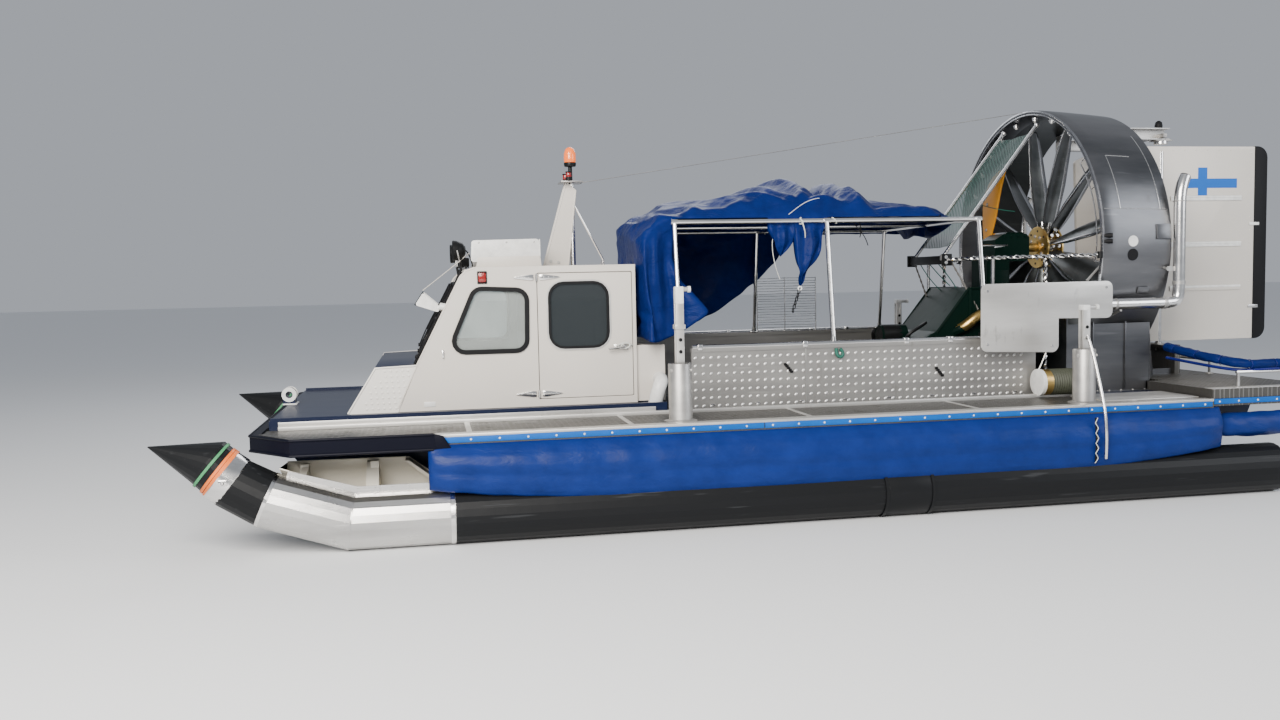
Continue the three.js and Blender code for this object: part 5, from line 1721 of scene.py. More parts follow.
def rudder_panel(side, sign):
    """The rudder's blade, its rubber tail and its stock."""
    bm = bmesh.new()
    y = sign * RUDDER_Y
    lowest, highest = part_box(f"rudder_{side}")
    top = 3.04
    bottom = 1.187
    panel = [(-3.56, bottom + 0.02), (-3.5, top - 0.04), (-3.6, top), (-4.87, top), (-4.87, bottom),
        (-3.62, bottom)]
    add_side_plate(bm, rounded(panel, 0.035, 4), y + RUDDER_HALF, 2 * RUDDER_HALF, 0, 0.004)
    corners = oblong(-4.84, -4.986, top + 0.004, bottom - 0.004)
    tail = [(-4.84, top + 0.004), *rounded(corners, 0.11, 8)[9:27], (-4.84, bottom - 0.004)]
    add_side_plate(bm, tail, y + RUDDER_HALF + 0.002, 2 * RUDDER_HALF + 0.004, 1, 0.006)
    add_bar(bm, (RUDDER_PIVOT, y, lowest.z), (RUDDER_PIVOT, y, highest.z - 0.1), 0.028, 20, 2)
    finish_piece(bm, f"rudder_panel_{side}", ["rudder", "rubber", "tube_steel"], f"rudder_{side}",
        [f"rudder_{side}"], smooth=40)


def rudder_details(side, sign):
    """Pressed ribs, each with a white tube as its painted highlight over a dull tube as its painted shadow,
    rivet rows and a cross on both faces.
    """
    bm = bmesh.new()
    for face in (1, -1):
        y = sign * RUDDER_Y + face * RUDDER_HALF
        for z in (2.56, 2.12, 1.7):
            # Each rib: the white tube paints the highlight along its top, the dull steel tube below paints
            # its shadow.
            for lift, fat, finish in ((0.0, 0.014, 3), (-0.02, 0.01, 4)):
                add_tube(bm, [(-3.93, y, z + lift), (-4.7, y, z + lift)], fat, 8, False, finish)
            add_box(bm, (-4.7, y, z - 0.036), (-3.93, y + face * 0.01, z + 0.006), 0.002)
        for z in spread(1.25, 2.98, 15):
            add_dome(bm, (-4.8, y, z), 0.008, 0.004, (0, face, 0))
        for x in spread(-4.7, -3.7, 9):
            for z in (3.005, 1.225):
                add_dome(bm, (x, y, z), 0.007, 0.004, (0, face, 0))
        for x0, x1, z0, z1 in ((-4.65, -4.11, 2.645, 2.735), (-4.325, -4.225, 2.735, 2.84),
                (-4.325, -4.225, 2.56, 2.645)):
            add_box(bm, (x0, y, z0), (x1, y + face * 0.0015, z1), 0.0, 1)
        for z in (1.5, 2.3):
            add_box(bm, (-4.9, y, z - 0.015), (-4.79, y + face * 0.006, z + 0.015), 0.002, 2)
    finish_piece(bm, f"rudder_details_{side}", ["rudder", "cross", "sheath", "white", "dull_steel"],
        f"rudder_{side}", smooth=50)


class HOVERCRAFT_OT_rudders(bpy.types.Operator):
    """Makes the rudders: ribbed panels with a rubber tail, rivets, a blue cross and their stocks"""

    bl_idname = "hovercraft.rudders"
    bl_label = "Rudders"

    def execute(self, context):
        for side, sign in SIDES.items():
            rudder_panel(side, sign)
            rudder_details(side, sign)
        return {"FINISHED"}


def exhaust_pipe(side, sign):
    """The bent pipe with its clamps, a black disc in its mouth as painted shade inside the pipe, and stays.
    """
    bm = bmesh.new()
    y = 1.29 * sign
    route = [(-2.5, y, 1.58), (-3.0, y, 1.58), (-3.27, y, 1.58), (-3.375, y, 1.585), (-3.413, y, 1.63),
        (-3.415, y, 1.75), (-3.415, y, 2.2), (-3.415, y, 2.4), (-3.416, y, 2.49),
        (-3.427, y - 0.005 * sign, 2.56), (-3.45, y - 0.013 * sign, 2.63), (-3.477, y - 0.02 * sign, 2.68)]
    add_tube(bm, route, 0.05, 20)
    for a, b in (((-2.78, y, 1.58), (-2.8, y, 1.58)), ((-3.25, y, 1.58), (-3.28, y, 1.58)),
            ((-3.415, y, 1.74), (-3.415, y, 1.77)), ((-3.415, y, 2.46), (-3.415, y, 2.47))):
        add_bar(bm, a, b, 0.0535, 28, 1)
    # A black rubber disc closes the pipe's end: painted shade inside its mouth.
    mouth = Vector((-3.477, y - 0.02 * sign, 2.68))
    add_bar(bm, mouth, mouth + Vector((-0.005, -0.001 * sign, 0.009)), 0.044, 20, 2)
    add_side_plate(bm, oblong(-3.42, -3.3, 1.86, 1.9), y, 0.006, 1)
    add_bar(bm, (-3.3, y, 1.88), (-3.3, sign * 1.236, 1.89), 0.012, 10, 1)
    add_bar(bm, (-2.85, y, 1.53), (-2.85, sign * 1.12, 1.47), 0.014, 10, 1)
    finish_piece(bm, f"exhaust_pipe_{side}", ["tube_steel", "dull_steel", "rubber"],
        replaces=[f"exhaust_{side}"], smooth=50)


def shield_panel():
    """The plate beside the engine, rounded at its corners but square in its notch."""
    bm = bmesh.new()
    corners = [(-2.73, 1.785), (-2.73, 1.465), (-2.22, 1.475), (-2.22, 1.185), (-1.5, 1.21), (-1.5, 1.78)]
    outline = rounded(corners, 0.06, 6)
    outline = [p for p in outline if not (abs(p[0] + 2.22) < 0.062 and 1.40 < p[1] < 1.54)]
    corner = next(i for i, p in enumerate(outline) if abs(p[0] + 2.22) < 0.062 and p[1] < 1.41)
    outline.insert(corner, (-2.22, 1.475))
    add_side_plate(bm, outline, 1.35, 0.008, 0, 0.002)
    for x, z in ((-1.56, 1.27), (-1.56, 1.72), (-2.16, 1.24), (-2.67, 1.73)):
        add_bolt(bm, (x, 1.35, z), 0.008, Y, 1)
    for x in (-1.7, -2.1):
        add_bar(bm, (x, 1.342, 1.3), (x, 1.2, 1.29), 0.012, 10, 1)
    add_bar(bm, (-2.6, 1.342, 1.7), (-2.65, 1.28, 1.84), 0.01, 10, 1)
    add_tube(bm, [(-2.79, 1.1, 1.93), (-2.6, 1.17, 1.786)], 0.012, 10, False, 1)
    finish_piece(bm, "shield_panel", ["alloy", "tube_steel"],
        replaces=["shield_plate"], smooth=40)


def air_hose():
    """A ribbed olive hose with a bronze ring and white tape at its front end."""
    bm = bmesh.new()
    y, z = 1.325, 0.93
    profile = [(-2.42, 0.0), (-2.42, 0.108)]
    for k in range(13):
        x = -2.41 + k * 0.022
        profile += [(x, 0.106), (x + 0.011, 0.113)]
    profile += [(-2.12, 0.106), (-2.12, 0.0)]
    add_lathe(bm, profile, (0, y, z), X, 36)
    add_lathe(bm, [(-2.13, 0.0), (-2.13, 0.112), (-2.06, 0.112), (-2.06, 0.0)], (0, y, z), X, 36, 1)
    add_lathe(bm, [(-2.065, 0.0), (-2.065, 0.1145), (-2.035, 0.1145), (-2.03, 0.1), (-2.03, 0.0)], (0, y, z),
        X, 36, 2)
    add_tube(bm, [(-2.05, y, z + 0.11), (-2.1, y + 0.01, z + 0.22), (-2.14, y + 0.01, z + 0.33)], 0.006, 6,
        True, 3)
    finish_piece(bm, "air_hose", ["olive", "brass", "white", "dull_steel"],
        replaces=["air_duct"], smooth=40)


class HOVERCRAFT_OT_exhausts(bpy.types.Operator):
    """Makes the bent exhaust pipes with their clamps, the shield plate and its stays, and the air hose"""

    bl_idname = "hovercraft.exhausts"
    bl_label = "Exhausts and shield"

    def execute(self, context):
        for side, sign in SIDES.items():
            exhaust_pipe(side, sign)
        shield_panel()
        air_hose()
        return {"FINISHED"}


BEAM_X = -1.68
GUARD_LIP = Vector((-2.65, 1.285, 2.01))
GUARD_CROWN = Vector((-2.63, 0.3, 3.255))


def engine_cover():
    """Frame bars and panels over the engine block, an intake hose, a filter and pipes."""
    bm = bmesh.new()
    side = [(-2.19, 0.81), (-1.26, 0.81), (-1.26, 1.175), (-1.565, 1.335), (-1.885, 1.735), (-2.19, 1.735)]
    for sign in SIDES.values():
        y = sign * 0.4
        for (x0, z0), (x1, z1) in zip(side, side[1:] + side[:1]):
            add_bar(bm, (x0, y, z0), (x1, y, z1), 0.012, 8)
        for x, top in ((-1.55, 1.32), (-1.9, 1.73)):
            add_box(bm, (x - 0.012, y, 0.82), (x + 0.012, y + sign * 0.01, top), 0.002)
        for k in range(6):
            add_box(bm, (-2.12, y, 1.0 + k * 0.06), (-1.98, y + sign * 0.012, 1.02 + k * 0.06), 0.003, 1)
    for k in range(7):
        y = -0.3 + k * 0.1
        add_box(bm, (-1.5, y - 0.004, 1.18), (-1.27, y + 0.004, 1.19), 0.0, 1)
    hose = [(-1.72, 0.3, 1.3), (-1.8, 0.42, 1.36), (-1.88, 0.46, 1.43), (-1.97, 0.46, 1.5),
        (-2.07, 0.44, 1.5)]
    add_tube(bm, hose, 0.05, 16, True, 2)
    add_lathe(bm, [(-1.44, 0.0), (-1.44, 0.06), (-1.38, 0.095), (-1.3, 0.1), (-1.18, 0.1), (-1.16, 0.08),
        (-1.16, 0.0)], (-0.05, -0.1, 1.3), X, 28, 1)
    add_tube(bm, [(-1.35, 0.2, 1.22), (-1.3, 0.26, 1.33), (-1.42, 0.3, 1.36), (-1.55, 0.2, 1.42)], 0.016, 10,
        True, 1)
    add_tube(bm, [(-1.28, -0.3, 1.2), (-1.22, -0.3, 1.3), (-1.22, -0.2, 1.34)], 0.03, 12, True, 1)
    finish_piece(bm, "engine_cover", ["green", "black", "brass"], smooth=40)


def drive_details():
    """Bolts, fins and a flange on the drive's head, and the bright rod beside it."""
    bm = bmesh.new()
    for sign in SIDES.values():
        for x in spread(-2.62, -2.4, 4):
            for z in (2.02, 2.22):
                add_bolt(bm, (x, sign * 0.13, z), 0.01, (0, sign, 0))
    add_lathe(bm, [(-2.68, 0.0), (-2.68, 0.085), (-2.664, 0.1), (-2.64, 0.1), (-2.64, 0.0)], (0, 0, DUCT_Z),
        X, 32)
    for k in range(5):
        x = -2.6 + k * 0.045
        add_box(bm, (x - 0.004, -0.12, 2.245), (x + 0.004, 0.12, 2.262), 0.001)
    corner = (-2.3, 0.36, 2.13)
    for ends in (((-2.0, 0.36, 2.13), corner), (corner, (-2.3, 0.13, 2.12))):
        add_tube(bm, ends, 0.008, 8, False, 1)
    for sign in SIDES.values():
        add_box(bm, (-2.43, sign * 0.151, 0.85), (-2.22, sign * 0.16, 1.9), 0.003)
    finish_piece(bm, "drive_details", ["green", "tube_steel"], smooth=40)


def add_twisted(bm, start, end, radius, finish):
    """Two strands wound round each other between two points."""
    start, end = Vector(start), Vector(end)
    along = end - start
    across = along.orthogonal().normalized()
    other = along.normalized().cross(across)
    turns = along.length / 0.11
    count = int(turns * 8)
    for phase in (0.0, pi):
        route = []
        for t in spread(0.0, 1.0, count):
            a = phase + t * turns * tau
            route.append(start + along * t + (across * cos(a) + other * sin(a)) * radius * 0.55)
        add_tube(bm, route, radius * 0.6, 6, True, finish, 2)


def guard_frame():
    """The guard frame: a black beam with end plates, bright rods and rope-wound rails and struts."""
    bm = bmesh.new()
    add_box(bm, (BEAM_X - 0.035, -0.36, 1.965), (BEAM_X + 0.035, 0.36, 2.045), 0.006)
    for sign in SIDES.values():
        y = sign * 0.37
        add_box(bm, (BEAM_X - 0.05, y - 0.008, 1.95), (BEAM_X + 0.05, y + 0.008, 2.06), 0.003)
        for z in (1.98, 2.03):
            add_bolt(bm, (BEAM_X + 0.01, y + sign * 0.008, z), 0.011, (0, sign, 0), 1)
    add_box(bm, (BEAM_X - 0.06, 0.33, 2.0), (BEAM_X + 0.05, 0.36, 2.055), 0.004, 2)
    for sign in SIDES.values():
        foot = Vector((BEAM_X, sign * 0.3, 2.04))
        crown = Vector((GUARD_CROWN.x, sign * GUARD_CROWN.y, GUARD_CROWN.z))
        add_bar(bm, foot, crown, 0.016, 14, 1)
        add_ball(bm, crown, 0.024, 1)
        lip = Vector((GUARD_LIP.x, sign * GUARD_LIP.y, GUARD_LIP.z))
        corner = Vector((BEAM_X, sign * 0.36, 2.01))
        add_twisted(bm, corner, lip, 0.018, 1)
        add_bar(bm, corner, lip, 0.011, 8)
        add_bar(bm, lip - Vector((0.0, 0.0, 0.03)), lip + Vector((0, 0, 0.03)), 0.024, 12)
        for x, fat, wound in ((-1.99, 0.016, False), (-2.32, 0.024, True)):
            t = (BEAM_X - x) / (BEAM_X - GUARD_LIP.x)
            y = sign * (0.36 + (GUARD_LIP.y - 0.36) * t)
            if wound:
                add_twisted(bm, (x, y, 0.82), (x, y, 1.99), fat * 0.8, 1)
                add_bar(bm, (x, y, 0.801), (x, y, 2.0), fat * 0.5, 8)
            else:
                add_bar(bm, (x, y, 0.801), (x, y, 2.0), fat, 12, 1)
            add_box(bm, (x - 0.045, y - 0.045, 0.8005), (x + 0.045, y + 0.045, 0.812), 0.003)
    finish_piece(bm, "guard_frame", ["black", "tube_steel", "dull_steel"],
        replaces=["fan_guard"], smooth=50, doubles=0)


def belt_guard():
    """The curved yellow guard ahead of the fan."""
    bm = bmesh.new()
    outer = [(-0.24, 1.8), (-0.245, 2.0), (-0.262, 2.12), (-0.288, 2.24), (-0.3, 2.38), (-0.297, 2.52),
        (-0.275, 2.62), (-0.23, 2.69), (-0.17, 2.755), (-0.09, 2.815), (0.02, 2.86)]
    inner = [(0.13, 2.86), (0.09, 2.78), (0.045, 2.69), (0.01, 2.6), (-0.02, 2.51), (-0.055, 2.41),
        (-0.1, 2.32), (-0.136, 2.25), (-0.14, 2.12), (-0.151, 2.0), (-0.151, 1.8)]
    add_plate(bm, outer + inner, (-2.42, 0, 0), Y, Z, 0.02, 0, 0.004)
    for y, z in ((-0.2, 1.88), (-0.2, 2.06), (-0.22, 2.3), (-0.2, 2.55), (-0.08, 2.74)):
        add_bolt(bm, (-2.4, y, z), 0.011, X, 1)
    add_box(bm, (-2.436, -0.19, 1.82), (-2.42, -0.151, 1.96), 0.002, 1)
    finish_piece(bm, "belt_guard_panel", ["yellow", "dull_steel"],
        replaces=["belt_guard"], smooth=40)


def guard_net():
    """The knotted net laced to the two rods, slack between them, and its two lashings."""
    foot = Vector((BEAM_X, 0, 2.06))
    crown = Vector((GUARD_CROWN.x, 0, GUARD_CROWN.z))
    rise = crown - foot
    width = 0.6

    def shape(u, v):
        sag = 0.03 * sin(pi * u) * (0.5 + 0.5 * sin(pi * v))
        ripple = 0.008 * noise((u * 4, v * 6, 2.0))
        place = foot + rise * (0.06 + 0.88 * v)
        normal = Vector((rise.z, 0, -rise.x)).normalized()
        return place + Vector((0, (u - 0.5) * width, 0)) - normal * (sag - ripple)

    bm = bmesh.new()
    add_grid(bm, 22, 44, shape)
    piece = finish_piece(bm, "net_sheet", ["net_mesh"], replaces=["guard_net"], smooth=60,
        recalc=False)
    bm = bmesh.new()
    for sign in SIDES.values():
        route = [foot + rise * (0.06 + 0.88 * v) + Vector((0, sign * (0.3 + 0.012 * sin(v * 90)), 0))
            for v in spread(0, 1, 60)]
        add_tube(bm, route, 0.0045, 6, True, 0, 2)
    ties = [((-1.70, -0.35, 1.98), (-1.96, -0.35, 1.3)), ((-1.74, 0.35, 1.98), (-1.98, 0.4, 1.54))]
    for a, b in ties:
        add_twisted(bm, a, b, 0.009, 1)
    for k, (y, z) in enumerate(((-0.2, 1.7), (0.0, 1.76), (0.18, 1.72))):
        add_tube(bm, [(-1.69, y, 1.97), (-1.78 - 0.03 * k, y * 0.9, (z + 1.97) / 2 - 0.03),
            (-1.9, y * 0.8, z)], 0.0045, 6, True, 0, 4)
    add_tube(bm, [(-2.2, -0.3, 2.62), (-2.3, -0.05, 2.5), (-2.42, 0.28, 2.45)], 0.004, 6, True, 0, 6)
    finish_piece(bm, "net_lacing", ["net", "rope"], smooth=60, doubles=0)


class HOVERCRAFT_OT_engine_bay(bpy.types.Operator):
    """Dresses the engine's cover, the drive, the belt guard, the guard frame and its net"""

    bl_idname = "hovercraft.engine_bay"
    bl_label = "Engine bay"

    def execute(self, context):
        engine_cover()
        drive_details()
        guard_frame()
        belt_guard()
        guard_net()
        return {"FINISHED"}


def leg_post(name, x, sign, top):
    """The sleeve and its collar, the slotted post with a black block as painted shade in its slot, its cap
    and pin, and bolts.
    """
    bm = bmesh.new()
    y = 1.8 * sign
    sleeve = 1.24
    add_lathe(bm, [(0.42, 0.0), (0.42, 0.088), (0.44, 0.09), (sleeve - 0.008, 0.09), (sleeve, 0.086),
        (sleeve, 0.07), (sleeve - 0.03, 0.07), (sleeve - 0.03, 0.0)], (x, y, 0), Z, 40)
    add_lathe(bm, [(0.8005, 0.088), (0.8005, 0.125), (0.808, 0.125), (0.812, 0.1), (0.82, 0.0895),
        (0.8005, 0.088)], (x, y, 0), Z, 40)
    base = sleeve - 0.045
    for y0, y1 in ((0.012, 0.034), (-0.036, -0.014)):
        add_box(bm, (x - 0.031, y + sign * y0, base), (x + 0.031, y + sign * y1, top - 0.02), 0.003, 1)
    # A black rubber block fills the slot between the two bars: painted shade in the recess.
    add_box(bm, (x - 0.01, y - 0.016, base), (x + 0.01, y + 0.016, top - 0.03), 0.002, 2)
    cap, reach = (0.13, 0.04) if "front" in name else (0.045, 0.07)
    add_box(bm, (x - 0.032, y - 0.036, top - cap), (x + 0.032, y + 0.036, top), 0.006, 3)
    pin_z = top - 0.022
    add_bar(bm, (x - 0.03, y, pin_z), (x - (0.032 + reach), y, pin_z), 0.018, 16, 1)
    add_bar(bm, (x - (0.03 + reach), y, pin_z), (x - (0.05 + reach), y, pin_z), 0.024, 18, 3)
    for z in (1.42, 1.33):
        add_bar(bm, (x, y - 0.042, z), (x, y + 0.042, z), 0.014, 14, 2)
        add_bar(bm, (x, y + sign * 0.034, z), (x, y + sign * 0.039, z), 0.019, 16, 1)
    if "front" in name:
        add_box(bm, (x - 0.04, y - 0.043, 1.5), (x + 0.04, y + 0.043, 1.535), 0.003, 1)
    for turn in range(3):
        angle = turn * tau / 3 + 0.5
        side = Vector((cos(angle), sin(angle), 0))
        add_bolt(bm, Vector((x, y, 1.19)) + side * 0.089, 0.011, side, 1)
    finish_piece(bm, f"{name}_post", ["dull_steel", "alloy", "rubber", "white"],
        replaces=[name], smooth=40)


class HOVERCRAFT_OT_legs(bpy.types.Operator):
    """Dresses the legs: welded collars, slots, pins and white caps"""

    bl_idname = "hovercraft.legs"
    bl_label = "Legs"

    def execute(self, context):
        for side, sign in SIDES.items():
            for name, x, top in (("leg_front", 1.21, 1.82), ("leg_aft", -2.17, 1.6)):
                leg_post(f"{name}_{side}", x, sign, top)
        return {"FINISHED"}


def deck_edge(side, sign):
    """A folded alloy edge along the deck, plate joints, and a riveted border beside the cabin."""
    bm = bmesh.new()
    add_box(bm, (-3.238, sign * (DECK_EDGE - 0.1), DECK_TOP),
        (3.05, sign * (DECK_EDGE + 0.002), DECK_TOP + 0.004), 0.0015)
    add_box(bm, (-3.238, sign * (DECK_EDGE - 0.002), 0.784),
        (3.05, sign * (DECK_EDGE + 0.004), DECK_TOP + 0.002), 0.001)
    for x in (-2.6, -1.2, 0.2, 1.6, 2.8):
        add_box(bm, (x - 0.02, sign * 1.3, DECK_TOP), (x + 0.02, sign * (DECK_EDGE - 0.1), DECK_TOP + 0.003),
            0.001)
    curb, mat = DECK_TOP + 0.03, DECK_TOP + 0.014
    add_box(bm, (-2.4, sign * 1.285, DECK_TOP), (4.2, sign * 1.33, curb), 0.003)
    add_box(bm, (1.3, sign * 1.302, curb), (4.2, sign * 1.308, 0.864), 0.001)
    add_box(bm, (-3.2, sign * 1.36, DECK_TOP), (-2.32, sign * 1.84, mat), 0.003)
    for x in spread(1.4, 4.1, 14):
        add_dome(bm, (x, sign * 1.307, DECK_TOP + 0.03), 0.007, 0.004, Z)
    finish_piece(bm, f"deck_edge_{side}", ["alloy"], smooth=40)


def tray_rim(side, sign):
    """A folded rim round the cream tray, and its pale posts."""
    bm = bmesh.new()
    rim = [(3.075, 0.445), (3.245, 0.578), (4.125, 0.583)]
    add_tube(bm, [(x, sign * 1.452, z) for x, z in rim], 0.008, 8, False)
    add_side_plate(bm, [(3.07, 0.44), (3.24, 0.575), (3.27, 0.575), (3.11, 0.44)], sign * 1.452, -sign * 0.16,
        0, 0.002)
    for x in (3.46, 3.96):
        add_box(bm, (x, sign * 1.6, 0.45), (x + 0.06, sign * 1.53, 0.583), 0.003)
    finish_piece(bm, f"tray_rim_{side}", ["tray"], smooth=40)


def bow_lip():
    """The dark folded lip round the bow, whose near-black finish is partly painted shade, its tread edge, and
    the ring in the fairlead.
    """
    bm = bmesh.new()
    corners = [(3.06, 2.0), (4.04, 2.0), (4.36, 1.625), (4.36, -1.625), (4.04, -2.0), (3.06, -2.0)]
    # The lip's tubes take the near-black apron finish, partly painted shade.
    for z in (0.812, 0.704):
        add_tube(bm, [(x, y, z) for x, y in corners], 0.01, 8, False)
    for sign in SIDES.values():
        add_plate(bm, [(3.05, 1.86), (4.05, 1.86), (4.26, 1.6), (4.3, 1.62), (4.03, 1.99), (3.05, 1.99)],
            (0, 0, 0.8155), X, (0, sign, 0), sign * 0.003, 1)
        add_side_plate(bm, [(2.93, 0.7), (3.05, 0.7), (3.05, 0.815), (2.99, 0.8)], sign * 1.99, -sign * 0.01,
            0, 0.002)
    for y in (-0.058, 0.058):
        add_lathe(bm, [(y - 0.006, 0.03), (y - 0.006, 0.062), (y + 0.006, 0.062), (y + 0.006, 0.03),
            (y - 0.006, 0.03)], (4.262, 0, 0.956), Y, 36, 2)
    add_plate(bm, rounded(oblong(-0.05, 0.07, -0.09, 0.09), 0.012, 4), (4.245, 0, 0.8705), X, Y, 0.01, 2,
        0.002)
    finish_piece(bm, "bow_lip", ["apron", "deck", "white"], smooth=40)


def bent_rod():
    """The bent bright rod from the aft leg, past the skirt, down to the tube."""
    bm = bmesh.new()
    add_tube(bm, [(-2.16, 1.86, 1.35), (-2.162, 1.93, 1.23), (-2.165, 2.04, 0.93), (-2.165, 2.115, 0.72),
        (-2.165, 2.12, 0.5), (-2.175, 2.095, 0.385)], 0.0135, 10)
    finish_piece(bm, "bent_rod", ["tube_steel"], smooth=60)


def cargo_floor():
    """Chequer plates on the cargo deck, with their joints, and the shelf along each wall."""
    bm = bmesh.new()
    for x0, x1 in ((-1.24, -0.42), (-0.415, 0.38), (0.385, 1.14)):
        add_box(bm, (x0, -1.13, DECK_TOP + 0.0005), (x1, 1.13, DECK_TOP + 0.006), 0.001)
    for sign in SIDES.values():
        add_box(bm, (-1.24, sign * 1.08, DECK_TOP + 0.006), (0.97, sign * 1.138, DECK_TOP + 0.06), 0.004, 1)
    finish_piece(bm, "cargo_floor", ["deck", "alloy"], smooth=40)


class HOVERCRAFT_OT_deck(bpy.types.Operator):
    """Adds the deck's edge strips and joints, the bow lip and its ring, tray rims, the bent rod and floor"""

    bl_idname = "hovercraft.deck"
    bl_label = "Deck and bow"

    def execute(self, context):
        for side, sign in SIDES.items():
            deck_edge(side, sign)
            tray_rim(side, sign)
        bow_lip()
        bent_rod()
        cargo_floor()
        return {"FINISHED"}


def stern_edges():
    """Alloy edges round the platform, and round feet under the rail."""
    bm = bmesh.new()
    for sign in SIDES.values():
        add_box(bm, (-4.25, sign * 1.85, 0.88), (-3.245, sign * 1.953, 0.884), 0.001)
        add_box(bm, (-4.25, sign * 1.949, 0.802), (-3.245, sign * 1.953, 0.882), 0.001, 1)
    add_box(bm, (-4.254, -1.95, 0.802), (-4.249, 1.95, 0.882), 0.001, 1)
    for x, y in ((-3.52, 1.9), (-4.1, 1.9), (-4.2, 0.7), (-4.2, -0.7), (-4.1, -1.9), (-3.52, -1.9)):
        add_lathe(bm, [(0.8805, 0.0), (0.8805, 0.035), (0.89, 0.035), (0.892, 0.016), (0.892, 0.0)],
            (x, y, 0), Z, 20, 2)
    finish_piece(bm, "stern_edges", ["alloy", "deck", "dull_steel"], smooth=40)


def cloth_roll():
    """The rolled blue cloth tied along the rail."""
    route = [Vector(p) for p in ((-3.37, 1.18, 1.19), (-3.4, 1.38, 1.155), (-3.45, 1.6, 1.12),
        (-3.53, 1.84, 1.083), (-3.62, 1.9, 1.072), (-3.8, 1.9, 1.07), (-4.0, 1.9, 1.072), (-4.2, 1.9, 1.07))]
    bm = bmesh.new()
    length = [0.0]
    for a, b in zip(route, route[1:]):
        length.append(length[-1] + (b - a).length)

    def along(s):
        s *= length[-1]
        i = max(k for k in range(len(route) - 1) if length[k] <= s + 1e-9)
        t = (s - length[i]) / (length[i + 1] - length[i])
        return route[i].lerp(route[i + 1], t), (route[i + 1] - route[i]).normalized()

    def shape(u, v):
        place, way = along(min(0.9999, max(0.0, u)))
        side = way.cross(Vector(Z)).normalized()
        up = side.cross(way)
        tie = 1 - 0.22 * exp(-((u * 6 % 1.0 - 0.5) / 0.06) ** 2)
        turn = v * tau
        fold = 0.007 * noise((cos(turn) * 2.2, sin(turn) * 2.2, u * 9))
        fold += 0.004 * noise((cos(turn) * 6, sin(turn) * 6, u * 26))
        fat = (0.04 * tie + fold) * (1.0 if 0.01 < u < 0.99 else 0.6)
        return place + side * cos(turn) * fat * 1.05 + up * sin(turn) * fat * 0.95

    add_grid(bm, 170, 30, shape)
    close_ends(bm, 0.0004)
    piece = finish_piece(bm, "cloth_roll", ["tarp"], replaces=["stern_roll"], smooth=60)
    bm = bmesh.new()
    for k in range(6):
        place, way = along((k + 0.5) / 6)
        side = way.cross(Vector(Z)).normalized()
        up = side.cross(way)
        ring = [place + (side * cos(a) + up * sin(a)) * 0.04 for a in spread(0, tau, 13)]
        add_tube(bm, ring, 0.0035, 6, True, 0, 2)
    hang = [(-3.37, 1.2, 1.09), (-3.42, 1.5, 1.06), (-3.5, 1.88, 1.015), (-3.7, 1.915, 1.028),
        (-3.9, 1.915, 1.03), (-4.15, 1.915, 1.027)]
    add_tube(bm, hang, 0.013, 8, True, 0, 8)
    finish_piece(bm, "roll_ties", ["roll"], smooth=60)


def rudder_bearings():
    """The bearings under the rudders, and bolts and a thin strip on the bar between their levers."""
    bm = bmesh.new()
    for sign in SIDES.values():
        y = sign * RUDDER_Y
        add_lathe(bm, [(1.152, 0.0), (1.152, 0.055), (1.162, 0.055), (1.166, 0.034), (1.175, 0.032),
            (1.175, 0.0)], (RUDDER_PIVOT, y, 0), Z, 24)
    for y in spread(-0.55, 0.55, 6):
        add_bolt(bm, (-3.904, y, 1.1), 0.01, X)
    add_plate(bm, oblong(-0.6, 0.6, 1.13, 1.156), (-3.962, 0, 0), Y, Z, 0.004)
    finish_piece(bm, "rudder_bearings", ["dull_steel"], smooth=40)


class HOVERCRAFT_OT_stern(bpy.types.Operator):
    """Dresses the stern platform: edge plates, the rail's feet, the rolled cloth and the rudder bearings"""

    bl_idname = "hovercraft.stern"
    bl_label = "Stern"

    def execute(self, context):
        stern_edges()
        cloth_roll()
        rudder_bearings()
        return {"FINISHED"}


def along_table(rows, x):
    """The row of numbers at x, between the rows of a table whose first column falls."""
    if x >= rows[0][0]:
        return rows[0][1:]
    for ahead, behind in zip(rows, rows[1:]):
        if x >= behind[0]:
            t = (ahead[0] - x) / (ahead[0] - behind[0])
            t = t * t * (3 - 2 * t) * 0.6 + t * 0.4
            return [a + (b - a) * t for a, b in zip(ahead[1:], behind[1:])]
    return rows[-1][1:]


